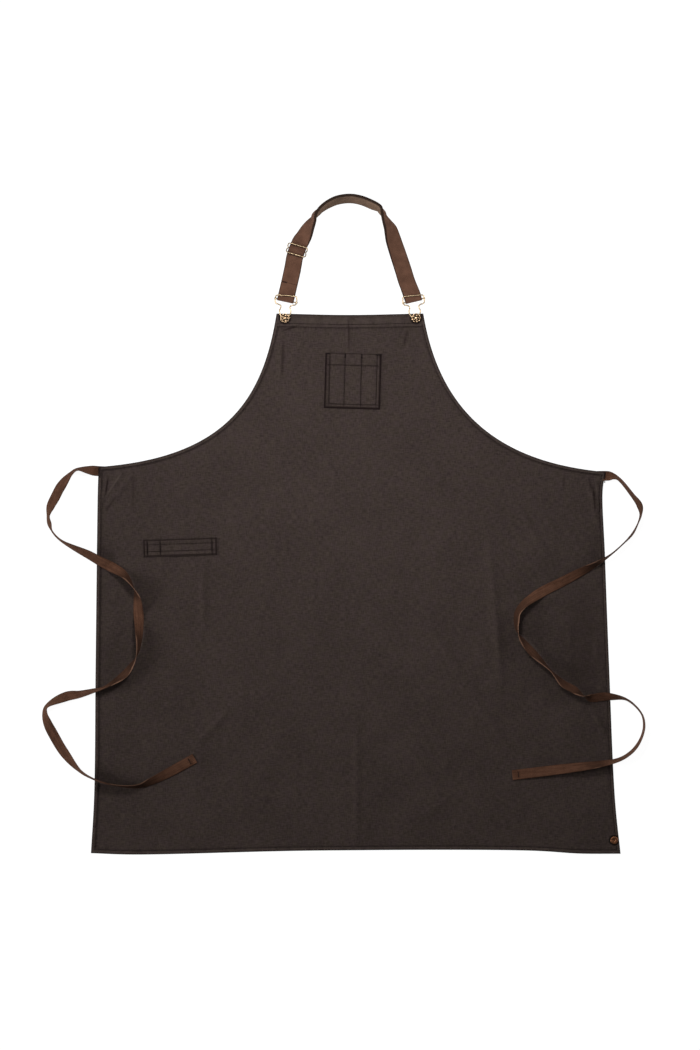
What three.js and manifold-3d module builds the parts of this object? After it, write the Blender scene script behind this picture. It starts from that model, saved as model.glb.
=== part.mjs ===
import * as THREE from 'three';
import { mergeVertices } from 'three/addons/utils/BufferGeometryUtils.js';
import Module from 'manifold-3d';

// A bib apron laid face up on a table, in millimetres. +X is to the right as it is seen from above,
// +Y runs from the skirt to the bib and +Z is up off the table. The origin is on the table, under
// the middle of the apron without its ties.

// Cloth of the apron and how deep each edge is turned over
const CLOTH = 1.0;
const TURNED_EDGE = 2.0;
const TOP_HEM = 20;
const SIDE_HEM = 7;
const BOTTOM_HEM = 8;
const HEM_STEP = 0.6;
const GAP = 0.3;

// Corners of the panel as it lies, x and y
const BIB_LEFT = [-141, 375.5];
const BIB_RIGHT = [120.3, 375.5];
const WAIST_LEFT = [-457.5, 102.5];
const WAIST_RIGHT = [445, 93.5];
const HEM_LEFT = [-471.3, -585];
const HEM_RIGHT = [471.3, -586];

// Armhole curves: how far each leaves the bib downwards and outwards, and the waist inwards and upwards
const ARMHOLE_LEFT = { drop: 152, flare: 24, run: 228, rise: 17 };
const ARMHOLE_RIGHT = { drop: 172, flare: 28, run: 194, rise: 17 };

// Points that the straight edges bow through, x and y
const BIB_TOP_BOW = [[-14, 373]];
const SIDE_LEFT_BOW = [[-459, 61], [-463, -252], [-465.5, -480]];
const SIDE_RIGHT_BOW = [[439.5, 62], [443.5, -52], [451, -252], [461.5, -490]];
const HEM_BOW = [[-398, -587.5], [-78, -580.5], [310, -580.5], [399, -585.7]];

// Mesh of the panel
const COLUMNS = 24;
const ARMHOLE_ROWS = 13;
const SIDE_ROWS = 18;

// Soft folds of the skirt: ridge from one end to the other, its height and half its width
const FOLDS = [
  { from: [-268, -150], to: [-262, -225], height: 1.6, reach: 55 },
  { from: [-235, -345], to: [-285, -375], height: 1.6, reach: 55 },
  { from: [235, 30], to: [258, -290], height: 2.2, reach: 65 },
  { from: [130, -180], to: [215, -330], height: 1.8, reach: 60 },
  { from: [268, 70], to: [330, -35], height: 1.8, reach: 60 },
  { from: [100, -405], to: [150, -480], height: 1.6, reach: 55 },
  { from: [2, -330], to: [0, -560], height: 1.4, reach: 60 },
  { from: [-335, 95], to: [-262, 62], height: 1.8, reach: 60 },
];

// Metal trims, x and y
const LEFT_BUTTON = [-126, 367.4];
const RIGHT_BUTTON = [107.3, 367.6];
const CORNER_RIVET = [460, -561.8];

// Places where the cloth is held up by what lies under it
const LIFTS = [
  { at: LEFT_BUTTON, height: 1.5, flat: 45, reach: 80 },
  { at: RIGHT_BUTTON, height: 1.5, flat: 45, reach: 80 },
  { at: CORNER_RIVET, height: 1.4, flat: 55, reach: 120 },
  { at: WAIST_LEFT, height: 2, flat: 60, reach: 130 },
  { at: WAIST_RIGHT, height: 2, flat: 60, reach: 130 },
];

// Chest pocket: its middle, turn in degrees, seam lines across and down, and how far its slots stand off
const POCKET_AT = [-5.3, 255];
const POCKET_TURN = -1.6;
const POCKET_SEAMS = [0, 8.5, 35.5, 65, 92.5, 100.4];
const POCKET_ROWS = [0, 21, 56, 90.5, 98.5];
const POCKET_RISE = 1.6;

// Towel loop: its middle, turn in degrees, seam lines along it, width, and the rise of its two slots
const LOOP_AT = [-312.4, -40.5];
const LOOP_TURN = 1.8;
const LOOP_SEAMS = [0, 7, 30, 122, 131];
const LOOP_WIDTH = 31;
const LOOP_RISE = [0, 1.4, 2.6, 0];

// Neck strap webbing and waist tape
const STRAP_WIDTH = 30;
const STRAP_THICKNESS = 1.4;
const TAPE_WIDTH = 18;
const TAPE_THICKNESS = 1.2;
const RIBBON_STEPS = 2;

// Dungaree buckles: wire, height of the frame, slide bar, the lean of frame and bar in degrees, and how
// far each buckle hangs off the middle of its button
const WIRE = 1.1;
const WIRE_SIDES = 6;
const FRAME_HEIGHT = 4.9;
const BAR_REACH = 31.7;
const BAR_HEIGHT = 2.7;
const BAR_RADIUS = 1.0;
const BAR_LENGTH = 35.4;
const BAR_SIDES = 8;
const EYE_OUT = 18.8;
const EYE_RADIUS = [1.7, 2.4];
const EYE_LENGTH = 2.8;
const EYE_SIDES = 12;
const LEFT_LEAN = { frame: -4.5, bar: -12 };
const RIGHT_LEAN = { frame: 5.5, bar: 13.3 };
const LEFT_HANG = [-0.6, -0.5];
const RIGHT_HANG = [-1.3, -0.8];
const LEFT_BUCKLE = buckleOn('left', LEFT_BUTTON, LEFT_HANG, LEFT_LEAN);
const RIGHT_BUCKLE = buckleOn('right', RIGHT_BUTTON, RIGHT_HANG, RIGHT_LEAN);
const UNDER_TOP_BAR = 8.8;
const LEFT_OFF_CENTRE = -1;

// Right half of the buckle wire from the middle of its top bar to the tip, x and y from its seat
const BUCKLE_HALF = [
  [7.5, 40.5], [14.6, 40.5], [18.2, 39], [18.9, 36], [18.9, 28.2], [16.8, 25.2], [11.8, 24], [8.4, 21.6],
  [8.2, 18.6], [9.6, 15], [10.2, 11.5], [8.2, 6.3], [5.8, 1], [3.8, -3],
];
const BUCKLE_TIP = -4.4;

// Slide adjuster: place and turn, wire, and its right half from the top bar to the bottom bar, x, y and z
const SLIDER_AT = [-104.7, 488.4];
const SLIDER_TURN = -16.5;
const SLIDER_WIRE = 1.0;
const SLIDER_WAIST = 16.5;
const SLIDER_HALF = [
  [6.5, 8.5, 3.8], [14.2, 8.5, 3.8], [17.4, 7, 3.5], [17.8, 3.8, 2.4], [SLIDER_WAIST, 0, 1.6],
  [17.8, -3.8, 2.4], [17.4, -7, 3.5], [14.2, -8.5, 3.8], [6.5, -8.5, 3.8],
];
const SLIDER_BAR_HEIGHT = 1.2;

// Tack button and cap rivet profiles: radius and height, from the back plate up
const BUTTON_PROFILE = [
  [0, 0], [5, 0], [5.4, 0.4], [5, 1], [2.6, 1.1], [2.6, 6.3], [7.9, 6.3], [8.6, 6.8], [8.6, 7.7], [7.7, 8.5],
  [6.7, 8.1], [5.6, 8.5], [3, 9], [0, 9.1],
];
const RIVET_PROFILE = [
  [0, 0], [4.4, 0], [4.7, 0.4], [4.4, 0.9], [2, 1], [2, 3.7], [6.2, 3.7], [6.8, 4.1], [6.3, 4.9],
  [4.4, 5.5], [3.4, 5.2], [0, 5],
];
const BUTTON_SIDES = 20;
const RIVET_SIDES = 16;

// Holes in the panel for the shanks
const HOLE_DEPTH = 16;
const HOLE_SIDES = 12;
const SHANK_HOLES = [
  { at: LEFT_BUTTON, radius: 3 },
  { at: RIGHT_BUTTON, radius: 3 },
  { at: CORNER_RIVET, radius: 2.4 },
];

// Neck strap from the left buckle to the right one. Columns: x, y, tilt in degrees and the height of its
// lower edge. Tilt is positive where the left-hand edge, looking along the route, is the raised one.
const ON_TAIL = 1.8;
const STRAP_ROUTE = [
  [-117.4, 432, 0, ON_TAIL], [-111.2, 460.8, 0, ON_TAIL], [-109.2, 473, 0, 0.8], [-106.9, 481.6, 0, 0.5],
  [-104.6, 488.4, 0, 2.8], [-101.7, 495.4, 0, 0.5], [-99, 501.6, 0, 0.4], [-92.6, 512, -20, 0.3],
  [-84.9, 527.9, -43, 0.3], [-76.8, 542, -66, 0.3], [-71, 551.5, -90, 0.3], [-61, 560.3, -107, 0.3],
  [-49.5, 568.4, -113, 0.3], [-32.8, 576, -117, 0.3], [-10.2, 579, -118, 0.3], [9.3, 575.8, -118, 0.3],
  [29.5, 567.6, -118, 0.3], [41.5, 561.5, -110, 0.3], [46.5, 555.5, -90, 0.3], [51.1, 547.5, -73, 0.3],
  [56.9, 536.1, -57, 0.3], [62.2, 525.2, -40, 0.3], [67.4, 505.5, -22, 0.3], [75.2, 481.3, -12, 0.3],
  [83.9, 454.8, -4, 0.3], [91, 431.8, 0, ON_TAIL],
];
const LEFT_TAIL = 58;
const RIGHT_TAIL = 24;

// Waist ties from under the panel to their free ends, with the same columns
const ON_TABLE = 0.2;
const ON_EDGE = 2.5;
const ON_CLOTH = 1.7;
const ON_FOLD = 2.4;
const LEFT_TIE_ROUTE = [
  [-437, 94, 0, ON_TABLE], [-462, 95.3, 2, ON_TABLE], [-475, 97, 36, ON_TABLE], [-496, 98, 77, ON_TABLE],
  [-506, 91, 74, ON_TABLE], [-525, 67, 40, ON_TABLE], [-535, 48, 27, ON_TABLE], [-543, 32, 47, ON_TABLE],
  [-547, 14, 78, ON_TABLE], [-545, 2, 68, ON_TABLE], [-540, -12, 80, ON_TABLE], [-525, -28, 79, ON_TABLE],
  [-473, -55, 45, ON_EDGE], [-452, -67, 20, ON_EDGE], [-430, -78, -16, ON_CLOTH], [-412, -89, -45, ON_CLOTH],
  [-394, -115, -92, ON_CLOTH], [-389, -132, -135, ON_CLOTH], [-387, -152, -165, ON_CLOTH],
  [-385.5, -176, -205, ON_CLOTH], [-385.5, -206, -236, ON_CLOTH], [-389, -232, -262, ON_CLOTH],
  [-398, -249, -298, ON_CLOTH], [-412, -267, -315, ON_CLOTH], [-448, -290, -283, ON_EDGE],
  [-468, -296, -293, ON_EDGE], [-491, -302, -307, ON_TABLE], [-515, -306, -322, ON_TABLE],
  [-550.5, -324, -281, ON_TABLE], [-553, -336, -290, ON_TABLE], [-548, -354, -317, ON_TABLE],
  [-538, -374, -338, ON_TABLE], [-520, -404, -322, ON_TABLE], [-491, -438, -284, ON_TABLE],
  [-470, -451, -280, ON_EDGE], [-434, -463, -280, ON_CLOTH], [-388, -466, -296, ON_CLOTH],
  [-366, -458, -315, ON_CLOTH], [-326, -438, -345, ON_CLOTH], [-287, -416.5, -360, ON_CLOTH],
];
const RIGHT_TIE_ROUTE = [
  [424, 86, 0, ON_TABLE], [449, 86.5, -2, ON_TABLE], [459, 85.5, -50, ON_TABLE], [468, 81, -70, ON_TABLE],
  [493, 51, -71, ON_TABLE], [505, 34, -60, ON_TABLE], [507, 18, -79, ON_TABLE], [502, 2, -84, ON_TABLE],
  [492, -17, -84, ON_TABLE], [475, -35, -86, ON_TABLE], [455, -52.5, -86, ON_EDGE], [435, -66, -75, ON_EDGE],
  [390, -90, -45, ON_CLOTH], [363, -104, -26, ON_CLOTH], [337, -117, -8, ON_CLOTH], [315, -130, 26, ON_CLOTH],
  [299, -142, 44, ON_FOLD], [288, -157, 53, ON_FOLD], [286, -172, 58, ON_FOLD], [287, -188, 75, ON_FOLD],
  [295, -204, 118, ON_FOLD], [311, -224, 138, ON_FOLD], [324, -237, 128, ON_CLOTH],
  [347, -260, 100, ON_CLOTH], [369, -283, 133, ON_CLOTH], [387, -293, 137, ON_CLOTH],
  [404, -304, 100, ON_CLOTH], [419, -309, 38, ON_CLOTH], [438, -306.5, 32, ON_EDGE],
  [455, -306.5, 46, ON_EDGE], [483, -312, 78, ON_TABLE], [508, -336, 86, ON_TABLE],
  [513, -356, 84, ON_TABLE], [509.3, -376, 80, ON_TABLE], [497.3, -397.5, 76, ON_TABLE],
  [480, -412.5, 73, ON_TABLE], [463, -420, 70, ON_EDGE], [434, -426, 52, ON_EDGE],
  [364, -435.5, 16, ON_CLOTH], [279.5, -446, 0, ON_CLOTH],
];

const DRILL = new THREE.MeshStandardMaterial({ color: 0x3a312f, roughness: 0.95, metalness: 0 });
const WEBBING = new THREE.MeshStandardMaterial({ color: 0x624639, roughness: 0.9, metalness: 0 });
const TAPE = new THREE.MeshStandardMaterial({ color: 0x5d443a, roughness: 0.9, metalness: 0 });
const BRASS = new THREE.MeshStandardMaterial({ color: 0xb08d57, roughness: 0.35, metalness: 1 });
const COPPER = new THREE.MeshStandardMaterial({ color: 0x7a4a30, roughness: 0.4, metalness: 1 });

const UP = new THREE.Vector3(0, 0, 1);
const wasm = await Module();
wasm.setup();

const radians = THREE.MathUtils.degToRad;
const at = ([x, y], z = 0) => new THREE.Vector3(x, y, z);
const curveThrough = (points) => new THREE.CatmullRomCurve3(points.map((point) => at(point)));

// Joining and cutting closed meshes

function toSolid(geometry) {
  const WELD = 1e-3;
  const bare = geometry.clone();
  bare.deleteAttribute('normal');
  bare.deleteAttribute('uv');
  const merged = mergeVertices(bare, WELD);
  const vertProperties = Float32Array.from(merged.attributes.position.array);
  const triVerts = Uint32Array.from(merged.index.array);
  const mesh = new wasm.Mesh({ numProp: 3, vertProperties, triVerts });
  return new wasm.Manifold(mesh);
}

function toGeometry(solid) {
  const { vertProperties, triVerts } = solid.getMesh();
  return meshGeometry(Array.from(vertProperties), Array.from(triVerts));
}

function meshGeometry(positions, index) {
  const geometry = new THREE.BufferGeometry();
  geometry.setAttribute('position', new THREE.Float32BufferAttribute(positions, 3));
  geometry.setIndex(index);
  geometry.computeVertexNormals();
  return geometry;
}

// A sheet with an upper and a lower face: points are added with the heights of both faces
class Sheet {
  positions = [];
  index = [];

  add(x, y, low, thickness) {
    this.positions.push(x, y, low + thickness, x, y, low);
    return this.positions.length / 3 - 2;
  }

  // Corners run anticlockwise as seen from above
  quad(a, b, c, d) {
    this.index.push(a, b, c, a, c, d);
    this.index.push(a + 1, c + 1, b + 1, a + 1, d + 1, c + 1);
  }

  // The edge from a to b has the sheet on its right-hand side
  wall(a, b) {
    this.index.push(a, b, b + 1, a, b + 1, a + 1);
  }

  geometry() {
    return meshGeometry(this.positions, this.index);
  }
}

// Height of the panel's underside over the table

function fadeOut(distance, flat, reach) {
  const t = THREE.MathUtils.clamp((reach - distance) / (reach - flat), 0, 1);
  return t * t * (3 - 2 * t);
}

function liftHeight(x, y, lift) {
  return lift.height * fadeOut(at(lift.at).distanceTo(at([x, y])), lift.flat, lift.reach);
}

function foldHeight(x, y, fold) {
  const line = new THREE.Line3(at(fold.from), at(fold.to));
  const nearest = line.closestPointToPoint(at([x, y]), true, new THREE.Vector3());
  return fold.height * fadeOut(nearest.distanceTo(at([x, y])), 0, fold.reach);
}

function clothHeight(x, y) {
  const lifts = LIFTS.map((lift) => liftHeight(x, y, lift));
  const folds = FOLDS.map((fold) => foldHeight(x, y, fold));
  return Math.max(...lifts, ...folds);
}

// Outline of the panel, clockwise from the bib's left corner, with the depth of the hem on each stretch

function armhole(bib, waist, hand, outward) {
  const leave = at([bib[0] + outward * hand.flare, bib[1] - hand.drop]);
  const arrive = at([waist[0] - outward * hand.run, waist[1] + hand.rise]);
  return new THREE.CubicBezierCurve3(at(bib), leave, arrive, at(waist)).getPoints(ARMHOLE_ROWS);
}

function panelSide(bib, waist, hem, bow, hand, outward) {
  const edge = curveThrough([waist, ...bow, hem]).getSpacedPoints(SIDE_ROWS);
  return [...armhole(bib, waist, hand, outward), ...edge.slice(1)];
}

function panelOutline() {
  const top = curveThrough([BIB_LEFT, ...BIB_TOP_BOW, BIB_RIGHT]).getSpacedPoints(COLUMNS);
  const right = panelSide(BIB_RIGHT, WAIST_RIGHT, HEM_RIGHT, SIDE_RIGHT_BOW, ARMHOLE_RIGHT, 1);
  const bottom = curveThrough([HEM_LEFT, ...HEM_BOW, HEM_RIGHT]).getSpacedPoints(COLUMNS).reverse();
  const left = panelSide(BIB_LEFT, WAIST_LEFT, HEM_LEFT, SIDE_LEFT_BOW, ARMHOLE_LEFT, -1).reverse();
  const stretches = [[top, TOP_HEM], [right, SIDE_HEM], [bottom, BOTTOM_HEM], [left, SIDE_HEM]];
  return stretches.flatMap(([points, hem]) => points.slice(0, -1).map((point) => ({ point, hem })));
}

// The outline moved inwards by each stretch's hem plus a little more, with mitred corners
function insetOutline(outline, extra) {
  const NEARLY_STRAIGHT = 0.02;
  return outline.map(({ point, hem }, k) => {
    const before = outline.at(k - 1);
    const after = outline[(k + 1) % outline.length];
    const into = point.clone().sub(before.point).normalize();
    const away = after.point.clone().sub(point).normalize();
    const [n1, n2] = [new THREE.Vector2(into.y, -into.x), new THREE.Vector2(away.y, -away.x)];
    const [d1, d2] = [before.hem + extra, hem + extra];
    const turn = n1.cross(n2);
    if (Math.abs(turn) < NEARLY_STRAIGHT) return at([point.x + n2.x * d2, point.y + n2.y * d2]);
    const x = (d1 * n2.y - d2 * n1.y) / turn;
    const y = (n1.x * d2 - n2.x * d1) / turn;
    return at([point.x + x, point.y + y]);
  });
}

function panelGeometry() {
  const rows = ARMHOLE_ROWS + SIDE_ROWS;
  const outline = panelOutline();
  const sheet = new Sheet();
  const addPoint = ({ x, y }, thickness) => sheet.add(x, y, clothHeight(x, y), thickness);
  const addRing = (points, thickness) => points.map((point) => addPoint(point, thickness));
  const inner = insetOutline(outline, HEM_STEP);
  const rings = [
    addRing(outline.map(({ point }) => point), TURNED_EDGE),
    addRing(insetOutline(outline, 0), TURNED_EDGE),
    addRing(inner, CLOTH),
  ];
  outline.forEach((_, k) => {
    const next = (k + 1) % outline.length;
    sheet.wall(rings[0][k], rings[0][next]);
    for (const [outer, inside] of [[rings[0], rings[1]], [rings[1], rings[2]]]) {
      sheet.quad(outer[k], inside[k], inside[next], outer[next]);
    }
  });

  // The field inside the hems is blended from its four edges
  const onTop = (i) => i;
  const onRight = (j) => COLUMNS + j;
  const onBottom = (i) => 2 * COLUMNS + rows - i;
  const onLeft = (j) => (2 * (COLUMNS + rows) - j) % outline.length;
  const [nw, ne] = [inner[onTop(0)], inner[onTop(COLUMNS)]];
  const [sw, se] = [inner[onBottom(0)], inner[onBottom(COLUMNS)]];
  const field = (i, j) => {
    const [u, v] = [i / COLUMNS, j / rows];
    const blend = (axis) => {
      const across = (1 - u) * inner[onLeft(j)][axis] + u * inner[onRight(j)][axis];
      const down = (1 - v) * inner[onTop(i)][axis] + v * inner[onBottom(i)][axis];
      const upper = (1 - u) * nw[axis] + u * ne[axis];
      const lower = (1 - u) * sw[axis] + u * se[axis];
      return across + down - (1 - v) * upper - v * lower;
    };
    return at([blend('x'), blend('y')]);
  };
  const cell = Array.from({ length: rows + 1 }, (_r, j) => Array.from({ length: COLUMNS + 1 }, (_c, i) => {
    if (j === 0) return rings[2][onTop(i)];
    if (j === rows) return rings[2][onBottom(i)];
    if (i === 0) return rings[2][onLeft(j)];
    if (i === COLUMNS) return rings[2][onRight(j)];
    return addPoint(field(i, j), CLOTH);
  }));
  for (let j = 0; j < rows; j += 1) {
    for (let i = 0; i < COLUMNS; i += 1) {
      sheet.quad(cell[j][i], cell[j + 1][i], cell[j + 1][i + 1], cell[j][i + 1]);
    }
  }

  const holes = SHANK_HOLES.map(({ at: [x, y], radius }) => {
    const bore = new THREE.CylinderGeometry(radius, radius, HOLE_DEPTH, HOLE_SIDES);
    return toSolid(bore.rotateX(Math.PI / 2).translate(x, y, 0));
  });
  const drilled = holes.reduce((solid, hole) => solid.subtract(hole), toSolid(sheet.geometry()));
  return toGeometry(drilled);
}

// A patch sewn on top of the panel: seam lines stay down and each slot between them stands off it
function patchGeometry(xs, ys, riseAt) {
  const sheet = new Sheet();
  const [width, depth] = [xs.at(-1), ys.at(-1)];
  const cell = ys.map((y, j) => xs.map((x, i) => {
    return sheet.add(x - width / 2, depth / 2 - y, riseAt(i, j), CLOTH);
  }));
  const [lastRow, lastColumn] = [ys.length - 1, xs.length - 1];
  for (let j = 0; j < lastRow; j += 1) {
    for (let i = 0; i < lastColumn; i += 1) {
      sheet.quad(cell[j][i], cell[j + 1][i], cell[j + 1][i + 1], cell[j][i + 1]);
    }
    sheet.wall(cell[j][lastColumn], cell[j + 1][lastColumn]);
    sheet.wall(cell[j + 1][0], cell[j][0]);
  }
  for (let i = 0; i < lastColumn; i += 1) {
    sheet.wall(cell[0][i], cell[0][i + 1]);
    sheet.wall(cell[lastRow][i + 1], cell[lastRow][i]);
  }
  return sheet.geometry();
}

// Seam lines with more lines between them, so that each slot can arch
function withSlotLines(seams, linesPerSlot) {
  const between = (a, b) => Array.from({ length: linesPerSlot }, (_, k) => a + ((b - a) * k) / linesPerSlot);
  return [...seams.slice(0, -1).flatMap((seam, k) => between(seam, seams[k + 1])), seams.at(-1)];
}

function pocketGeometry() {
  const SLOT_LINES = 4;
  const xs = withSlotLines(POCKET_SEAMS, SLOT_LINES);
  const lastSlot = POCKET_SEAMS.length - 2;
  const sewnRows = POCKET_ROWS.length - 2;
  return patchGeometry(xs, POCKET_ROWS, (i, j) => {
    const slot = Math.floor(i / SLOT_LINES);
    const isSlot = slot > 0 && slot < lastSlot && j < sewnRows;
    return isSlot ? POCKET_RISE * Math.sin((Math.PI * (i % SLOT_LINES)) / SLOT_LINES) : 0;
  });
}

function loopGeometry() {
  const SLOT_LINES = 6;
  const xs = withSlotLines(LOOP_SEAMS, SLOT_LINES);
  const ys = [0, LOOP_WIDTH / 2, LOOP_WIDTH];
  return patchGeometry(xs, ys, (i) => {
    const rise = LOOP_RISE[Math.min(Math.floor(i / SLOT_LINES), LOOP_RISE.length - 1)];
    return rise * Math.sin((Math.PI * (i % SLOT_LINES)) / SLOT_LINES);
  });
}

// Flat webbing and tape

// Stations along a route: the middle of the ribbon and the direction across it
function ribbonStations(route, width, thickness) {
  const path = new THREE.CatmullRomCurve3(route.map(([x, y, , low]) => new THREE.Vector3(x, y, low)));
  const tilts = new THREE.CatmullRomCurve3(route.map(([, , tilt]) => new THREE.Vector3(tilt, 0, 0)));
  const steps = (route.length - 1) * RIBBON_STEPS;
  return Array.from({ length: steps + 1 }, (_, k) => {
    const middle = path.getPoint(k / steps);
    const along = path.getTangent(k / steps).setZ(0).normalize();
    const tilt = radians(tilts.getPoint(k / steps).x);
    const left = UP.clone().cross(along);
    const across = left.multiplyScalar(Math.cos(tilt)).addScaledVector(UP, Math.sin(tilt));
    middle.z += (width * Math.abs(Math.sin(tilt)) + thickness * Math.abs(Math.cos(tilt))) / 2;
    return { middle, across };
  });
}

// Both broad faces are split along the same diagonal, so that they stay apart where the ribbon twists
function ribbonGeometry(stations, width, thickness) {
  const positions = [];
  const index = [];
  const CORNERS = 4;
  const LOWER_FACE = 2;
  stations.forEach(({ middle, across }, k) => {
    const before = stations[Math.max(k - 1, 0)].middle;
    const after = stations[Math.min(k + 1, stations.length - 1)].middle;
    const face = after.clone().sub(before).cross(across).normalize();
    for (const [side, skin] of [[1, 1], [-1, 1], [-1, -1], [1, -1]]) {
      const corner = middle.clone().addScaledVector(across, (side * width) / 2);
      positions.push(...corner.addScaledVector(face, (skin * thickness) / 2).toArray());
    }
  });
  for (let k = 0; k < stations.length - 1; k += 1) {
    for (let corner = 0; corner < CORNERS; corner += 1) {
      const [a, b] = [k * CORNERS + corner, k * CORNERS + ((corner + 1) % CORNERS)];
      const [nextA, nextB] = [a + CORNERS, b + CORNERS];
      if (corner === LOWER_FACE) index.push(a, b, nextA, b, nextB, nextA);
      else index.push(a, b, nextB, a, nextB, nextA);
    }
  }
  const end = (stations.length - 1) * CORNERS;
  index.push(0, 3, 2, 0, 2, 1, end, end + 1, end + 2, end, end + 2, end + 3);
  return meshGeometry(positions, index);
}

function tieGeometry(route) {
  return ribbonGeometry(ribbonStations(route, TAPE_WIDTH, TAPE_THICKNESS), TAPE_WIDTH, TAPE_THICKNESS);
}

function buckleOn(side, button, hang, lean) {
  return { side, button, seat: [button[0] + hang[0], button[1] + hang[1]], lean };
}

// Middle of the strap on a buckle's slide bar, and the directions along the bar and up the strap's leg
function barPlace({ seat, lean }, offCentre = 0) {
  const frame = radians(lean.frame);
  const bar = radians(lean.bar);
  const [x, y] = [seat[0] - BAR_REACH * Math.sin(frame), seat[1] + BAR_REACH * Math.cos(frame)];
  const along = at([Math.cos(bar), Math.sin(bar)]);
  const upLeg = at([-Math.sin(bar), Math.cos(bar)]);
  return { middle: at([x, y], BAR_HEIGHT).addScaledVector(along, offCentre), along, upLeg };
}

// The strap's end from its hidden tail on the table, round under the slide bar and up to the top of it
function turnedEnd(bar, tail, across, [x, y]) {
  const STEPS = 6;
  const leg = at([x - bar.middle.x, y - bar.middle.y]).normalize();
  const radius = BAR_RADIUS + GAP + STRAP_THICKNESS / 2;
  const stations = [tail, tail / 2].map((run) => {
    const middle = bar.middle.clone().addScaledVector(leg, run);
    return { middle: middle.setZ(BAR_HEIGHT - radius), across };
  });
  for (let k = 0; k < STEPS; k += 1) {
    const angle = (Math.PI * k) / STEPS;
    const middle = bar.middle.clone().addScaledVector(bar.upLeg, -radius * Math.sin(angle));
    middle.z -= radius * Math.cos(angle);
    stations.push({ middle, across });
  }
  return stations;
}

function strapGeometry() {
  const left = barPlace(LEFT_BUCKLE, LEFT_OFF_CENTRE);
  const right = barPlace(RIGHT_BUCKLE);
  const overBar = BAR_HEIGHT + BAR_RADIUS + GAP;
  const legRows = (bar) => [[0, overBar], [UNDER_TOP_BAR, ON_TAIL]].map(([run, low]) => {
    const place = bar.middle.clone().addScaledVector(bar.upLeg, run);
    return [place.x, place.y, 0, low];
  });
  const route = [...legRows(left), ...STRAP_ROUTE, ...legRows(right).reverse()];
  const leftEnd = turnedEnd(left, LEFT_TAIL, left.along.clone().negate(), STRAP_ROUTE.at(0));
  const rightEnd = turnedEnd(right, RIGHT_TAIL, right.along, STRAP_ROUTE.at(-1)).reverse();
  const stations = [...leftEnd, ...ribbonStations(route, STRAP_WIDTH, STRAP_THICKNESS), ...rightEnd];
  return ribbonGeometry(stations, STRAP_WIDTH, STRAP_THICKNESS);
}

// Bent wire and turned metal

// A closed ring of round wire, mirrored from its right half
function wireRing(half, radius, steps) {
  const right = half.map(([x, y, z]) => new THREE.Vector3(x, y, z));
  const left = right.filter(({ x }) => x > 0).reverse().map(({ x, y, z }) => new THREE.Vector3(-x, y, z));
  const path = new THREE.CatmullRomCurve3([...right, ...left], true);
  return new THREE.TubeGeometry(path, steps, radius, WIRE_SIDES, true);
}

function buckleFrameGeometry() {
  const STEPS = 64;
  const half = [...BUCKLE_HALF, [0, BUCKLE_TIP]].map(([x, y]) => [x, y, FRAME_HEIGHT]);
  return wireRing(half, WIRE, STEPS);
}

// A round bar along X with a rolled eye at each end, which runs on the side wires of the buckle
function slideBarGeometry() {
  const [bore, rim] = EYE_RADIUS;
  const half = EYE_LENGTH / 2;
  const section = [[bore, -half], [rim, -half], [rim, half], [bore, half], [bore, -half]];
  const eye = new THREE.LatheGeometry(section.map(([r, y]) => new THREE.Vector2(r, y)), EYE_SIDES);
  const bar = new THREE.CylinderGeometry(BAR_RADIUS, BAR_RADIUS, BAR_LENGTH, BAR_SIDES);
  const eyes = [-EYE_OUT, EYE_OUT].map((x) => toSolid(eye.clone().translate(x, 0, FRAME_HEIGHT)));
  const rod = toSolid(bar.rotateZ(Math.PI / 2).translate(0, 0, BAR_HEIGHT));
  return toGeometry(rod.add(eyes[0]).add(eyes[1]));
}

function sliderGeometry() {
  const STEPS = 48;
  const frame = toSolid(wireRing(SLIDER_HALF, SLIDER_WIRE, STEPS));
  const bar = new THREE.CylinderGeometry(SLIDER_WIRE, SLIDER_WIRE, 2 * SLIDER_WAIST, WIRE_SIDES);
  return toGeometry(frame.add(toSolid(bar.rotateZ(Math.PI / 2).translate(0, 0, SLIDER_BAR_HEIGHT))));
}

function turned(profile, segments) {
  const points = profile.map(([radius, height]) => new THREE.Vector2(radius, height));
  return new THREE.LatheGeometry(points, segments).rotateX(Math.PI / 2);
}

// The assembly

const apron = new THREE.Group();

function place(parent, name, geometry, material, [x, y] = [0, 0], z = 0, turn = 0) {
  const mesh = new THREE.Mesh(geometry, material);
  mesh.name = name;
  mesh.position.set(x, y, z);
  mesh.rotation.z = radians(turn);
  parent.add(mesh);
}

place(apron, 'apron_panel', panelGeometry(), DRILL);
place(apron, 'chest_pocket', pocketGeometry(), DRILL, POCKET_AT, CLOTH + GAP, POCKET_TURN);
place(apron, 'towel_loop', loopGeometry(), DRILL, LOOP_AT, CLOTH + GAP, LOOP_TURN);
place(apron, 'neck_strap', strapGeometry(), WEBBING);
place(apron, 'strap_slider', sliderGeometry(), BRASS, SLIDER_AT, 0, SLIDER_TURN);

for (const { side, button, seat, lean } of [LEFT_BUCKLE, RIGHT_BUCKLE]) {
  const buckle = new THREE.Group();
  buckle.position.set(seat[0], seat[1], 0);
  buckle.rotation.z = radians(lean.frame);
  place(buckle, `${side}_buckle_frame`, buckleFrameGeometry(), BRASS);
  place(buckle, `${side}_buckle_bar`, slideBarGeometry(), BRASS, [0, BAR_REACH], 0, lean.bar - lean.frame);
  apron.add(buckle);
  place(apron, `${side}_button`, turned(BUTTON_PROFILE, BUTTON_SIDES), BRASS, button);
}

place(apron, 'corner_rivet', turned(RIVET_PROFILE, RIVET_SIDES), COPPER, CORNER_RIVET);
place(apron, 'left_tie', tieGeometry(LEFT_TIE_ROUTE), TAPE);
place(apron, 'right_tie', tieGeometry(RIGHT_TIE_ROUTE), TAPE);

export default apron;
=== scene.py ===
import math

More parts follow.
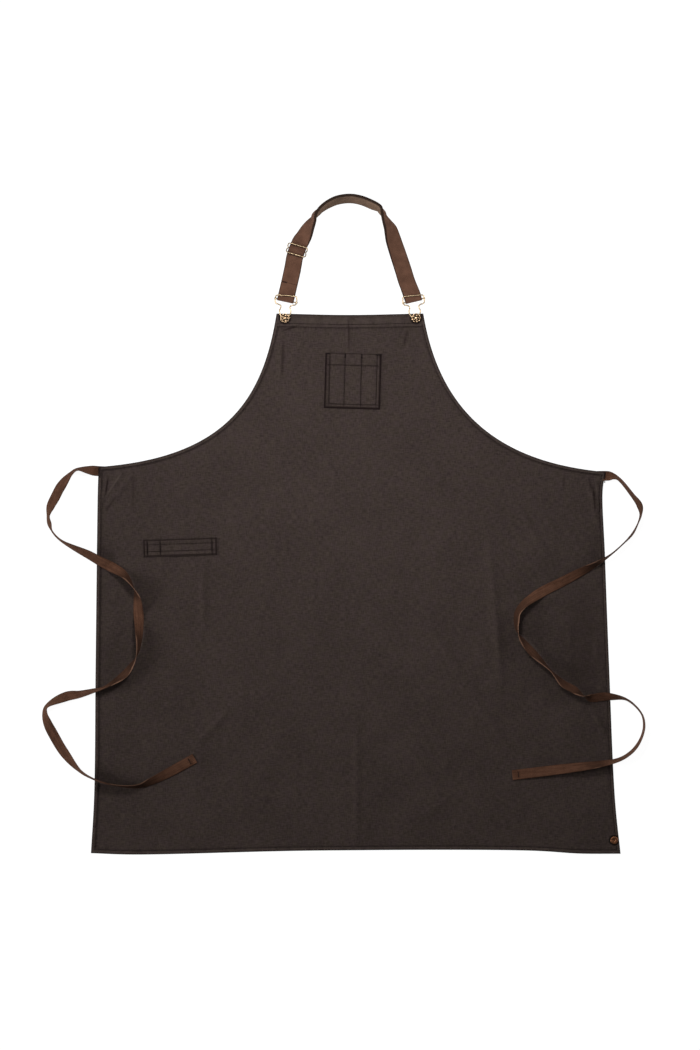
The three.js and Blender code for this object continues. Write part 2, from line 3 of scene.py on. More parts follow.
import bmesh
import bpy
import numpy as np
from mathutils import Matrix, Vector


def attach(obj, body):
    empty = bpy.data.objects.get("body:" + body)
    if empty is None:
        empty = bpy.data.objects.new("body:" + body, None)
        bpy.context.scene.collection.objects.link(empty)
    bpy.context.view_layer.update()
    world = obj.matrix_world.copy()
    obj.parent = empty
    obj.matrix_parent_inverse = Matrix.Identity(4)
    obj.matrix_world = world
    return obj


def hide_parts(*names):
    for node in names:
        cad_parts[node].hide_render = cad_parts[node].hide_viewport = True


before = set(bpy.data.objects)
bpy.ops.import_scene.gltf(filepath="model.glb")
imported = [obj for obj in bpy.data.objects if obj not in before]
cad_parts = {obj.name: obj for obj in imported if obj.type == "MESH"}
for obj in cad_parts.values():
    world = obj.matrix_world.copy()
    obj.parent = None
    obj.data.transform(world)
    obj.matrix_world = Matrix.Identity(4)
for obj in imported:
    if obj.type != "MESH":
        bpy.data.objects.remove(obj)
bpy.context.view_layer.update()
scene = bpy.context.scene


# Studio. The apron lies on a white light table, and the camera looks straight down on it.
# Daylight comes from all round. One lamp hangs over the top of the bib, a low one far to the left shapes
# the folds, and a weaker one answers it from the right.
PIXEL = 0.00178
PICTURE_HEIGHT = 1050 * PIXEL
VIEW_CENTRE = (-0.0102, -0.0009)
CAMERA_HEIGHT = 12.0
TABLE_HALF = 30.0
TABLE_TOP = -0.0002
TABLE_TONE = 0.12
TABLE_GLOW = 0.95
DAYLIGHT = 0.2
LAMP_AIM = (0.0, -0.1, 0.0)
# Lamps: name, place, size and power
LAMPS = [
    ("bib_lamp", (-0.04, 0.45, 0.9), 0.25, 9.0), ("left_lamp", (-4.0, -0.6, 1.4), 1.2, 165),
    ("right_lamp", (4.0, 1.0, 0.9), 1.2, 80),
]


def add_object(name, data):
    made = bpy.data.objects.new(name, data)
    scene.collection.objects.link(made)
    return made


scene.view_settings.view_transform = "Standard"
camera = add_object("camera", bpy.data.cameras.new("camera"))
camera.location = (*VIEW_CENTRE, CAMERA_HEIGHT)
camera.data.lens = camera.data.sensor_width * CAMERA_HEIGHT / PICTURE_HEIGHT
scene.camera = camera

scene.world = bpy.data.worlds.new("daylight")
scene.world.use_nodes = True
scene.world.node_tree.nodes["Background"].inputs["Color"].default_value = (1, 1, 1, 1)
scene.world.node_tree.nodes["Background"].inputs["Strength"].default_value = DAYLIGHT

for name, place, size, power in LAMPS:
    lamp = add_object(name, bpy.data.lights.new(name, "AREA"))
    lamp.data.size = size
    lamp.data.energy = power
    lamp.location = place
    lamp.rotation_euler = (Vector(LAMP_AIM) - Vector(place)).to_track_quat("-Z", "Y").to_euler()
    lamp.visible_camera = False

table_mesh = bpy.data.meshes.new("table")
table_corners = [(-1, -1), (1, -1), (1, 1), (-1, 1)]
table_points = [(x * TABLE_HALF, y * TABLE_HALF, TABLE_TOP) for x, y in table_corners]
table_mesh.from_pydata(table_points, [], [(0, 1, 2, 3)])
table_white = bpy.data.materials.new("table_white")
table_white.use_nodes = True
table_shader = table_white.node_tree.nodes["Principled BSDF"]
for key, value in {
    "Base Color": (TABLE_TONE, TABLE_TONE, TABLE_TONE, 1), "Roughness": 0.8, "Specular IOR Level": 0.1,
    "Emission Color": (1, 1, 1, 1), "Emission Strength": TABLE_GLOW,
}.items():
    table_shader.inputs[key].default_value = value
table_mesh.materials.append(table_white)
add_object("table", table_mesh)


# Waist ties. Two lengths of brown cotton herringbone tape, 18 mm wide, sewn under the waist corners.
# Each lies loose on the table and over the skirt, twists on its way, and ends in a fold sewn down
# with one short row of dark thread.
TAPE_WIDTH = 0.018
TAPE_LAY = 0.0012
TAPE_THICKNESS = 0.0008
TAPE_STEPS = 8
TAPE_FOLD = 0.011
TAPE_FOLD_RADIUS = 0.00045
TAPE_HERRINGBONE = 0.0012
TIE_SEAM_BACK, TIE_SEAM_HALF, TIE_SEAM_LIFT = 0.010, 0.0042, 1.3 * TAPE_THICKNESS
SKIRT_SIDE, SKIRT_EDGE = 0.425, 0.455
STEEP_GAIN, STEEP_FROM = 2.6, 1.2
LEFT_TIE_LENGTH = 1.036
RIGHT_TIE_LENGTH = 1.015
LEFT_TIE_EXIT = (-0.4575, 0.095, 0.001)
RIGHT_TIE_EXIT = (0.445, 0.0865, 0.001)

# Runs of the routes: the height of the lower edge, and x, y and tilt in degrees at each place. Tilt is
# positive where the left-hand edge, looking along the route, is the raised one.
ON_TABLE = 0.0002
ON_EDGE = 0.0025
ON_CLOTH = 0.0017
ON_FOLD = 0.0024
LEFT_TIE_ROUTE = [
    (ON_TABLE, [
        (-0.437, 0.094, 0), (-0.462, 0.0953, 2), (-0.475, 0.097, 36), (-0.496, 0.098, 73),
        (-0.506, 0.091, 66), (-0.525, 0.067, 17), (-0.535, 0.048, 17), (-0.543, 0.032, 34),
        (-0.547, 0.014, 70), (-0.545, 0.002, 63), (-0.54, -0.012, 80), (-0.525, -0.028, 77),
    ]),
    (ON_EDGE, [(-0.473, -0.055, 32), (-0.452, -0.067, 20)]),
    (ON_CLOTH, [
        (-0.43, -0.078, -16), (-0.412, -0.089, -45), (-0.394, -0.115, -92), (-0.389, -0.132, -135),
        (-0.387, -0.152, -165), (-0.3855, -0.176, -205), (-0.3855, -0.206, -236), (-0.389, -0.232, -262),
        (-0.398, -0.249, -298), (-0.412, -0.267, -315),
    ]),
    (ON_EDGE, [(-0.448, -0.29, -283), (-0.468, -0.296, -297)]),
    (ON_TABLE, [
        (-0.491, -0.302, -315), (-0.515, -0.306, -340), (-0.5505, -0.324, -292), (-0.553, -0.336, -303),
        (-0.548, -0.354, -333), (-0.538, -0.374, -354), (-0.52, -0.404, -341), (-0.491, -0.438, -292),
    ]),
    (ON_EDGE, [(-0.47, -0.451, -283)]),
    (ON_CLOTH, [
        (-0.434, -0.463, -280), (-0.388, -0.466, -296), (-0.366, -0.458, -315), (-0.326, -0.438, -345),
        (-0.287, -0.4165, -360),
    ]),
]
RIGHT_TIE_ROUTE = [
    (ON_TABLE, [
        (0.424, 0.086, 0), (0.449, 0.0865, -18), (0.459, 0.0855, -53), (0.468, 0.081, -68),
        (0.493, 0.051, -63), (0.505, 0.034, -51), (0.507, 0.018, -73), (0.502, 0.002, -81),
        (0.492, -0.017, -76), (0.475, -0.035, -82),
    ]),
    (ON_EDGE, [(0.455, -0.0525, -80), (0.435, -0.066, -66)]),
    (ON_CLOTH, [(0.39, -0.09, -26), (0.363, -0.104, -15), (0.337, -0.117, -8), (0.315, -0.13, 26)]),
    (ON_FOLD, [
        (0.299, -0.142, 44), (0.288, -0.157, 53), (0.286, -0.172, 58), (0.287, -0.188, 75),
        (0.295, -0.204, 118), (0.311, -0.224, 138),
    ]),
    (ON_CLOTH, [
        (0.324, -0.237, 128), (0.347, -0.26, 100), (0.369, -0.283, 133), (0.387, -0.293, 137),
        (0.404, -0.304, 100), (0.419, -0.309, 38),
    ]),
    (ON_EDGE, [(0.438, -0.3065, 32), (0.455, -0.3065, 46)]),
    (ON_TABLE, [
        (0.483, -0.312, 78), (0.508, -0.336, 82), (0.513, -0.356, 79), (0.5093, -0.376, 78),
        (0.4973, -0.3975, 73), (0.48, -0.4125, 71),
    ]),
    (ON_EDGE, [(0.463, -0.42, 67), (0.434, -0.426, 52)]),
    (ON_CLOTH, [(0.364, -0.4355, 16), (0.2795, -0.446, 0)]),
]


class Field:
    """A socket in a node tree. Arithmetic on fields adds Math nodes behind them."""

    def __init__(self, tree, socket=None):
        self.tree = tree
        self.socket = socket

    def feed(self, made, inputs):
        for key, value in inputs.items():
            if isinstance(value, Field):
                self.tree.links.new(value.socket, made.inputs[key])
            else:
                made.inputs[key].default_value = value

    def node(self, kind, settings=None, inputs=None, output=0):
        made = self.tree.nodes.new(kind)
        for key, value in (settings or {}).items():
            setattr(made, key, value)
        self.feed(made, inputs or {})
        return Field(self.tree, made.outputs[output]) if made.outputs else made

    def other(self, output):
        return Field(self.tree, self.socket.node.outputs[output])

    def on_object(self):
        """Place in the piece, in metres."""
        return self.node("ShaderNodeTexCoord", output="Object")

    def on_weave(self):
        """Place on a woven band, along it and across it from its middle, in metres."""
        return self.node("ShaderNodeUVMap", {"uv_map": "weave"})

    def axes(self):
        """The first two measures of this field as a place."""
        split = self.node("ShaderNodeSeparateXYZ", None, {0: self})
        return split.other("X"), split.other("Y")

    def mark(self, name):
        """A value that the mesh holds for each of its points."""
        return self.node("ShaderNodeAttribute", {"attribute_name": name}, output="Fac")

    def math(self, operation, *others):
        return self.node("ShaderNodeMath", {"operation": operation}, dict(enumerate((self, *others))))

    def __add__(self, other):
        return self.math("ADD", other)

    def __sub__(self, other):
        return self.math("SUBTRACT", other)

    def __mul__(self, other):
        return self.math("MULTIPLY", other)

    def __rsub__(self, other):
        return self.node("ShaderNodeMath", {"operation": "SUBTRACT"}, {0: other, 1: self})

    __radd__ = __add__
    __rmul__ = __mul__

    def size(self):
        return self.math("ABSOLUTE")

    def wave(self, pitch):
        return (self * (2 * math.pi / pitch)).math("SINE")

    def rise(self, low, high):
        """0 below low, 1 above high, and a smooth step between."""
        return self.node("ShaderNodeMapRange", {"interpolation_type": "SMOOTHSTEP"},
                         {0: self, 1: low, 2: high})

    def mix(self, first, second):
        """The first colour where this is 0, the second where it is 1."""
        return self.node("ShaderNodeMix", {"data_type": "RGBA"}, {0: self, 6: first, 7: second}, output=2)

    def stretch(self, factors):
        return self.node("ShaderNodeVectorMath", {"operation": "MULTIPLY"}, {0: self, 1: factors})

    def noise(self, scale, detail=2.0):
        """Soft random patches between about 0.25 and 0.75, over this field as a place."""
        return self.node("ShaderNodeTexNoise", None, {"Vector": self, "Scale": scale, "Detail": detail})

    def bump(self, strength, distance, over=None):
        """A normal tilted by this as a height, over another normal if there is one."""
        inputs = {"Strength": strength, "Distance": distance, "Height": self}
        if over:
            inputs["Normal"] = over
        return self.node("ShaderNodeBump", None, inputs)


def new_material(name):
    made = bpy.data.materials.new(name)
    made.use_nodes = True
    return made, made.node_tree.nodes["Principled BSDF"], Field(made.node_tree)


def unit(vectors):
    return vectors / np.linalg.norm(vectors, axis=-1, keepdims=True)


def spline(points, steps, closed=False):
    """Points on a smooth centripetal curve through a list of points, with steps to each stretch."""
    points = np.asarray(points, float)
    if closed:
        ends = points[-1:], points[:2]
    else:
        ends = 2 * points[:1] - points[1:2], 2 * points[-1:] - points[-2:-1]
    chain = np.vstack([ends[0], points, ends[1]])
    gaps = np.sqrt(np.linalg.norm(np.diff(chain, axis=0), axis=1))[:, None]
    middle = np.where(gaps[1:-1] < 1e-4, 1.0, gaps[1:-1])
    before = np.where(gaps[:-2] < 1e-4, middle, gaps[:-2])
    after = np.where(gaps[2:] < 1e-4, middle, gaps[2:])
    p0, p1, p2, p3 = chain[:-3], chain[1:-2], chain[2:-1], chain[3:]
    leave = (p1 - p0) / before - (p2 - p0) / (before + middle) + (p2 - p1) / middle
    arrive = (p2 - p1) / middle - (p3 - p1) / (middle + after) + (p3 - p2) / after
    leave, arrive = leave * middle, arrive * middle
    curve = []
    for t in np.arange(steps) / steps:
        bend = (2 * p2 - 2 * p1 - leave - arrive) * -t + (3 * p2 - 3 * p1 - 2 * leave - arrive)
        curve.append(p1 + t * (leave + t * bend))
    curve = np.stack(curve, 1).reshape(-1, points.shape[1])
    return curve if closed else np.vstack([curve, points[-1:]])


def fade(distance, flat, reach):
    """1 up to the flat distance, 0 from the reach on, and a smooth step between."""
    t = np.clip((reach - distance) / (reach - flat), 0, 1)
    return t * t * (3 - 2 * t)


def lengths(line):
    """Distance along a line of points, from its start to each point."""
    return np.concatenate([[0], np.cumsum(np.linalg.norm(np.diff(line, axis=0), axis=1))])


def make_mesh(name, points, faces, material, uv=None, marks=None):
    """A smooth closed mesh with its faces turned outwards. uv and marks hold values for each point."""
    mesh = bpy.data.meshes.new(name)
    mesh.from_pydata(np.asarray(points).tolist(), [], faces)
    for key, values in (marks or {}).items():
        mesh.attributes.new(key, "FLOAT", "POINT").data.foreach_set("value", np.asarray(values, np.float32))
    if uv is not None:
        corners = np.empty(len(mesh.loops), int)
        mesh.loops.foreach_get("vertex_index", corners)
        mesh.uv_layers.new(name="weave").data.foreach_set("uv", np.asarray(uv)[corners].ravel())
    shell = bmesh.new()
    shell.from_mesh(mesh)
    bmesh.ops.remove_doubles(shell, verts=shell.verts, dist=1e-6)
    bmesh.ops.recalc_face_normals(shell, faces=shell.faces)
    shell.to_mesh(mesh)
    shell.free()
    mesh.shade_smooth()
    mesh.materials.append(material)
    return mesh


def ring_faces(rings, size, closed=False):
    """Faces between rings of points, from each ring to the next, and from the last to the first if closed."""
    faces = []
    for k in range(rings if closed else rings - 1):
        here, after = k * size, (k + 1) % rings * size
        for a in range(size):
            b = (a + 1) % size
            faces.append((here + a, here + b, after + b, after + a))
    return faces


def route_rows(runs):
    """Rows of x, y, tilt and height, from runs of places that lie at one height."""
    return [(*place, low) for low, places in runs for place in places]


def ribbon_line(rows, width, lay, steps):
    """Middle of a flat ribbon on the rows of its route, and the direction across it."""
    rows = np.array(rows, float)
    line = spline(rows[:, [0, 1, 3]], steps)
    tilt = np.radians(spline(rows[:, 2:3], steps))
    along = unit(np.gradient(line, axis=0) * (1, 1, 0))
    left = np.cross((0, 0, 1), along)
    across = left * np.cos(tilt) + np.array((0, 0, 1)) * np.sin(tilt)
    line[:, 2:] += (width * np.abs(np.sin(tilt)) + lay * np.abs(np.cos(tilt))) / 2
    return line, across


def ribbon_mesh(name, line, across, width, half_thickness, material, marks=None):
    """A woven band round a line. half_thickness holds a value for each place across it, from edge to edge,
    and marks hold values for each place along it. The face that starts underneath is marked as its back."""
    face = unit(np.cross(np.gradient(line, axis=0), across))
    places = np.sin(np.linspace(-math.pi / 2, math.pi / 2, half_thickness.shape[-1]))
    middle = line[:, None] + across[:, None] * places[None, :, None] * width / 2
    skin = face[:, None] * np.broadcast_to(half_thickness, (len(line), len(places)))[..., None]
    ring = np.concatenate([middle + skin, (middle - skin)[:, ::-1]], 1)
    size = ring.shape[1]
    faces = [tuple(range(size)), tuple(range((len(line) - 1) * size, len(line) * size))]
    faces += ring_faces(len(line), size)
    over = np.concatenate([places, places[::-1]]) * width / 2
    uv = np.stack(np.broadcast_arrays(lengths(line)[:, None], over[None]), -1)
    marks = {key: np.repeat(values, size) for key, values in (marks or {}).items()}
    marks["back"] = np.tile(np.repeat((0.0, 1.0), size // 2), len(line))
    return make_mesh(name, ring.reshape(-1, 3), faces, material, uv.reshape(-1, 2), marks)


def turned_under(line, across, radius, run):
    """A ribbon's line with its far end folded flat under itself."""
    TURN_STEPS = 8
    ahead = unit(line[-1] - line[-2])
    face = unit(np.cross(ahead, across[-1]))
    turn = np.linspace(0, math.pi, TURN_STEPS)[1:, None]
    bend = line[-1] + radius * (ahead * np.sin(turn) + face * (np.cos(turn) - 1))
    back = bend[-1] - ahead * run * np.linspace(0, 1, TURN_STEPS)[1:, None]
    extra = np.vstack([bend, back])
    return np.vstack([line, extra]), np.vstack([across, np.repeat(across[-1:], len(extra), 0)])


def thread_material():
    material, shader, field = new_material("dark_thread")
    shade = field.on_object().noise(900.0).rise(0.3, 0.7)
    field.feed(shader, {
        "Base Color": shade.mix((0.003, 0.0013, 0.0014, 1), (0.009, 0.0042, 0.0042, 1)),
        "Roughness": 0.75,
        "Specular IOR Level": 0.1,
    })
    return material


def stitching_tree():
    """Grains of thread laid along seams, turned a little at random from one to the next."""
    SWAY = 0.1
    tree = bpy.data.node_groups.new("stitching", "GeometryNodeTree")
    kinds = {
        "Seam": "NodeSocketGeometry", "Pitch": "NodeSocketFloat", "Length": "NodeSocketFloat",
        "Thread": "NodeSocketFloat", "Turn": "NodeSocketFloat", "Seed": "NodeSocketInt",
        "Material": "NodeSocketMaterial",
    }
    keys = {}
    for label, kind in kinds.items():
        keys[label] = tree.interface.new_socket(label, in_out="INPUT", socket_type=kind).identifier
    tree.interface.new_socket("Stitches", in_out="OUTPUT", socket_type="NodeSocketGeometry")
    seam = Field(tree).node("NodeGroupInput")
    path = seam.node("GeometryNodeMeshToCurve", None, {"Mesh": seam})
    places = seam.node("GeometryNodeResampleCurve", {"mode": "LENGTH"},
                       {"Curve": path, "Length": seam.other("Pitch")})
    tangent = seam.node("GeometryNodeInputTangent")
    aim = seam.node("FunctionNodeAlignRotationToVector", {"axis": "X"}, {"Vector": tangent})
    sway = seam.node("FunctionNodeRandomValue", {"data_type": "FLOAT"},
                     {2: -SWAY, 3: SWAY, "Seed": seam.other("Seed")}, output=1)
    swing = seam.node("ShaderNodeCombineXYZ", None, {"Z": sway + seam.other("Turn")})
    spin = seam.node("FunctionNodeEulerToRotation", None, {"Euler": swing})
    facing = seam.node("FunctionNodeRotateRotation", {"rotation_space": "LOCAL"},
                       {"Rotation": aim, "Rotate By": spin})
    grain = seam.node("GeometryNodeMeshUVSphere", None, {"Segments": 8, "Rings": 5, "Radius": 0.5})
    thread = seam.other("Thread")
    size = seam.node("ShaderNodeCombineXYZ", None, {"X": seam.other("Length"), "Y": thread, "Z": thread})
    laid = seam.node("GeometryNodeInstanceOnPoints", None,
                     {"Points": places, "Instance": grain, "Rotation": facing, "Scale": size})
    real = seam.node("GeometryNodeRealizeInstances", None, {"Geometry": laid})
    smooth = seam.node("GeometryNodeSetShadeSmooth", None, {"Geometry": real})
    done = seam.node("GeometryNodeSetMaterial", None,
                     {"Geometry": smooth, "Material": seam.other("Material")})
    seam.node("NodeGroupOutput", None, {0: done})
    return tree, keys


DARK_THREAD = thread_material()
STITCHING, STITCHING_INPUTS = stitching_tree()


def sew(name, seams, pitch, length, thread, turn=0.0, seed=1):
    """Rows of stitches along seams, each a line of points, as one plain mesh that rides with the apron."""
    points, edges = [], []
    for seam in seams:
        edges += [(len(points) + k, len(points) + k + 1) for k in range(len(seam) - 1)]
        points += [tuple(point) for point in seam]
    carrier = bpy.data.meshes.new(name)
    carrier.from_pydata(points, edges, [])
    sewn = add_object(name, carrier)
    modifier = sewn.modifiers.new("stitching", "NODES")
    modifier.node_group = STITCHING
    settings = {"Pitch": pitch, "Length": length, "Thread": thread, "Turn": turn, "Seed": seed,
                "Material": DARK_THREAD}
    for label, value in settings.items():
        modifier[STITCHING_INPUTS[label]] = value
    done = bpy.data.meshes.new_from_object(sewn.evaluated_get(bpy.context.evaluated_depsgraph_get()))
    sewn.modifiers.clear()
    sewn.data = done
    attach(sewn, "root")


def tape_material():
    """Brown tape. Where it stands on edge over the skirt, painted shade darkens its face and a painted
    highlight lights its raised edge.
    """
    material, shader, field = new_material("herringbone_tape")
    place = field.on_weave()
    along, side = place.axes()
    over = side.size()
    weave = (along + over * 1.3).wave(TAPE_HERRINGBONE)
    ribs = over.wave(TAPE_WIDTH / 12)
    patches = place.noise(90.0, 3.0)
    streaks = place.stretch((25, 420, 1)).noise(1.0)
    grain = place.stretch((1, 2.5, 1)).noise(900.0, 3.0)
    edge = over.rise(0.40 * TAPE_WIDTH, 0.49 * TAPE_WIDTH)
    shade = (patches * 0.35 + streaks * 0.6 + grain * 0.5 + weave * 0.13).rise(0.40, 1.05)
    # Painted shade on the face where the tape stands steep over the skirt, and a painted highlight along its
    # raised edge
    raised = field.mark("raised")
    steep = raised.size()
    lit_edge = (side * raised).rise(0.27 * TAPE_WIDTH, 0.38 * TAPE_WIDTH)
    tone = shade.mix((0.036, 0.0155, 0.0086, 1), (0.104, 0.0482, 0.0288, 1))
    tone = (steep * 0.8).mix(tone, (0.014, 0.0060, 0.0034, 1))
    tone = (edge * (1 - steep) * 0.45).mix(tone, (0.022, 0.010, 0.006, 1))
    field.feed(shader, {
        "Base Color": (lit_edge * 0.75).mix(tone, (0.150, 0.0800, 0.0520, 1)),
        "Roughness": 0.9,
        "Specular IOR Level": 0.08,
        "Normal": (weave * 0.5 + ribs * 0.25 + grain * 1.2).bump(0.5, 0.0004),
    })
    return material


TAPE_EDGE = TAPE_THICKNESS / 2 * np.array([0.35, 0.9, 1.05, 1.0, 1.0, 1.0, 1.05, 0.9, 0.35])
TAPE = tape_material()
tie_seams = []
for side, route, length, leaves in (
    ("left", LEFT_TIE_ROUTE, LEFT_TIE_LENGTH, LEFT_TIE_EXIT),
    ("right", RIGHT_TIE_ROUTE, RIGHT_TIE_LENGTH, RIGHT_TIE_EXIT),
):
    line, across = ribbon_line(route_rows(route), TAPE_WIDTH, TAPE_LAY, TAPE_STEPS)
    folded = turned_under(line, across, TAPE_FOLD_RADIUS, TAPE_FOLD)
    # The raised mark, set only over the skirt, paints shade where the tape stands steep and a highlight on
    # its raised edge
    on_skirt = fade(np.abs(folded[0][:, 0]), SKIRT_SIDE, SKIRT_EDGE)
    lean = folded[1][:, 2]
    raised = np.sign(lean) * np.clip(np.abs(lean) * STEEP_GAIN - STEEP_FROM, 0, 1) * on_skirt
    tie = add_object(side + "_waist_tie", ribbon_mesh(
        side + "_waist_tie", *folded, TAPE_WIDTH, TAPE_EDGE, TAPE, {"raised": raised}))
    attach(tie, "root")
    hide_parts(side + "_tie")
    sewn_at = line[-1] - unit(line[-1] - line[-2]) * TIE_SEAM_BACK
    sewn_at[2] += TIE_SEAM_LIFT
    tie_seams.append([sewn_at - across[-1] * TIE_SEAM_HALF, sewn_at + across[-1] * TIE_SEAM_HALF])
sew("tie_end_stitches", tie_seams, pitch=0.0024, length=0.0030, thread=0.0016)


# Apron panel. One cut of dark brown cotton drill: bib, two curved armholes and a wide skirt.
# Every edge is turned over twice and sewn down, and the cloth lies in low folds and packing creases.
CLOTH = 0.0010
TURNED_EDGE = 0.0020
EDGE_ROLL = 0.0009
TOP_HEM, SIDE_HEM, BOTTOM_HEM = 0.0236, 0.007, 0.008
HEM_STEP = 0.0016
BIB_LEFT, BIB_RIGHT = (-0.141, 0.3755), (0.1203, 0.3755)
WAIST_LEFT, WAIST_RIGHT = (-0.4575, 0.1025), (0.445, 0.0935)
HEM_LEFT, HEM_RIGHT = (-0.4713, -0.585), (0.4713, -0.586)
BIB_TOP_BOW = [(-0.014, 0.373)]
SIDE_LEFT_BOW = [(-0.459, 0.061), (-0.463, -0.252), (-0.4655, -0.480)]
SIDE_RIGHT_BOW = [(0.4395, 0.062), (0.4435, -0.052), (0.451, -0.252), (0.4615, -0.490)]
HEM_BOW = [(-0.398, -0.5875), (-0.078, -0.5805), (0.310, -0.5805), (0.399, -0.5857)]
ARMHOLE_LEFT = {"drop": 0.152, "flare": 0.024, "run": 0.228, "rise": 0.017}
ARMHOLE_RIGHT = {"drop": 0.172, "flare": 0.028, "run": 0.194, "rise": 0.017}
LEFT_BUTTON, RIGHT_BUTTON = (-0.126, 0.3674), (0.1073, 0.3676)
CORNER_RIVET = (0.460, -0.5618)
COLUMNS, ARMHOLE_ROWS, SIDE_ROWS, UNDERSIDE_STEP = 240, 120, 180, 4

# Soft folds: from, to, height and half the width of each ridge
FOLDS = [
    ((-0.268, -0.150), (-0.262, -0.225), 0.0016, 0.055), ((-0.235, -0.345), (-0.285, -0.375), 0.0016, 0.055),
    ((0.235, 0.030), (0.258, -0.290), 0.0022, 0.065), ((0.130, -0.180), (0.215, -0.330), 0.0018, 0.060),
    ((0.268, 0.070), (0.330, -0.035), 0.0018, 0.060), ((0.100, -0.405), (0.150, -0.480), 0.0016, 0.055),
    ((0.002, -0.330), (0.000, -0.560), 0.0014, 0.060), ((-0.335, 0.095), (-0.262, 0.062), 0.0018, 0.060),
]
# Cloth held up by what lies under it: place, height, and how far it stays and then fades
LIFTS = [
    (LEFT_BUTTON, 0.0015, 0.045, 0.080), (RIGHT_BUTTON, 0.0015, 0.045, 0.080),
    (CORNER_RIVET, 0.0014, 0.055, 0.120),
    (WAIST_LEFT, 0.0020, 0.060, 0.130), (WAIST_RIGHT, 0.0020, 0.060, 0.130),
]
# Painted shade in rings on the cloth round the metal caps: place, and where the shade is full and where it
# ends
CAP_SHADE_RINGS = [(LEFT_BUTTON, 0.0085, 0.0130), (RIGHT_BUTTON, 0.0085, 0.0130), (CORNER_RIVET, 0.0078, 0.0108)]
# Sharp creases in the cloth's upper face: from, to, height and half the width of each
CREASES = [
    ((-0.0129, 0.400), (-0.0129, 0.296), 0.0024, 0.0055), ((0.0022, -0.330), (0.0022, -0.575), 0.0028, 0.013),
    ((-0.272, -0.045), (-0.270, -0.205), 0.0036, 0.012), ((0.232, 0.030), (0.262, -0.310), 0.0039, 0.017),
    ((0.125, -0.172), (0.198, -0.289), 0.0031, 0.015), ((0.190, -0.280), (0.280, -0.405), 0.0031, 0.015),
    ((0.265, 0.074), (0.355, -0.082), 0.0031, 0.015), ((-0.285, -0.392), (-0.222, -0.329), 0.0034, 0.013),
    ((0.097, -0.400), (0.155, -0.485), 0.0034, 0.013), ((-0.344, 0.084), (-0.246, 0.026), 0.0031, 0.014),
    ((-0.1348, 0.335), (-0.134, 0.227), 0.0020, 0.011), ((0.150, 0.090), (0.148, 0.054), 0.0022, 0.011),
    ((-0.4435, 0.092), (-0.4535, 0.024), 0.0030, 0.006), ((-0.416, 0.092), (-0.454, 0.044), 0.0034, 0.008),
    ((-0.396, 0.090), (-0.446, 0.028), 0.0036, 0.010), ((-0.134, 0.3420), (-0.101, 0.3557), 0.0024, 0.006),
    ((0.424, -0.330), (0.446, -0.380), 0.0034, 0.010), ((0.418, 0.060), (0.432, -0.010), 0.0028, 0.010),
    ((-0.090, 0.352), (-0.120, 0.250), 0.0020, 0.014), ((0.090, 0.352), (0.104, 0.262), 0.0017, 0.014),
    ((-0.345, -0.055), (-0.346, -0.112), 0.0020, 0.009), ((-0.220, 0.010), (-0.212, -0.018), 0.0022, 0.009),
    ((-0.396, 0.095), (-0.394, 0.015), 0.0017, 0.009), ((-0.349, 0.085), (-0.348, 0.015), 0.0017, 0.010),
    ((0.428, -0.190), (0.430, -0.250), 0.0028, 0.009), ((0.380, -0.145), (0.382, -0.255), 0.0022, 0.011),
    ((0.268, -0.113), (0.304, -0.119), 0.0022, 0.010), ((0.408, 0.082), (0.436, 0.022), 0.0030, 0.008),
]
# Fine pleats painted into the cloth's colour as streaks of painted shade: from, to, half the width and tone,
# below 0 for a painted highlight
PAINTED_PLEATS = [
    ((-0.0129, 0.380), (-0.0126, 0.300), 0.0032, 0.55), ((-0.1280, 0.342), (-0.1314, 0.252), 0.0042, 0.5),
    ((-0.1345, 0.3435), (-0.1010, 0.3540), 0.0030, 0.7), ((0.0936, 0.356), (0.0838, 0.310), 0.0042, 0.5),
    ((-0.4395, 0.090), (-0.4465, 0.046), 0.0028, 0.9), ((-0.4120, 0.099), (-0.4500, 0.042), 0.0028, -0.7),
    ((-0.4230, 0.055), (-0.4480, 0.020), 0.0036, 0.45), ((-0.3965, 0.102), (-0.3960, 0.012), 0.0050, 0.35),
    ((0.4222, 0.074), (0.4264, 0.016), 0.0032, 0.75), ((0.4262, 0.082), (0.4320, 0.030), 0.0026, -0.6),
    ((0.4140, 0.092), (0.4200, 0.058), 0.0034, 0.4), ((0.3708, 0.094), (0.3697, 0.056), 0.0040, 0.35),
    ((0.3950, -0.070), (0.4150, -0.340), 0.0600, 0.25),
]
TWILL_PITCH = 0.0009
RUMPLE_SIZE, RUMPLE_HEIGHT = 0.06, 0.005
PUCKER_HEIGHT, PUCKER_WAVE, WEAR_AND_HIGHLIGHT_WAVE = 0.0003, 0.013, 0.031


def beside(x, y, start, end):
    """Distance of points from a line between two places, and how far along it they lie, from 0 to 1."""
    run = np.subtract(end, start)
    share = np.clip(((x - start[0]) * run[0] + (y - start[1]) * run[1]) / (run @ run), 0, 1)
    return np.hypot(x - start[0] - share * run[0], y - start[1] - share * run[1]), share


def cloth_height(x, y):
    """Height of the panel's underside over the table."""
    folds = [height * fade(beside(x, y, start, end)[0], 0, reach) for start, end, height, reach in FOLDS]
    lifts = [height * fade(np.hypot(x - at[0], y - at[1]), flat, reach) for at, height, flat, reach in LIFTS]
    return np.max(folds + lifts, axis=0)


def crease_height(x, y):
    """Height of the sharp creases over the cloth. Each fades out towards its ends."""
    height = np.zeros_like(x)
    for start, end, crest, reach in CREASES:
        away, share = beside(x, y, start, end)
        height += 4 * crest * share * (1 - share) * np.clip(1 - away / reach, 0, 1) ** 2
    return height


def evenly(line, count, start=0.0, stop=0.0):
    """A line of points laid out again at even steps, cut short at its start and stop."""
    along = lengths(line)
    places = np.linspace(start, along[-1] - stop, count + 1)
    return np.stack([np.interp(places, along, line[:, axis]) for axis in (0, 1)], 1)


def edge_through(points, count):
    CURVE_STEPS = 40
    return evenly(spline(points, CURVE_STEPS), count)


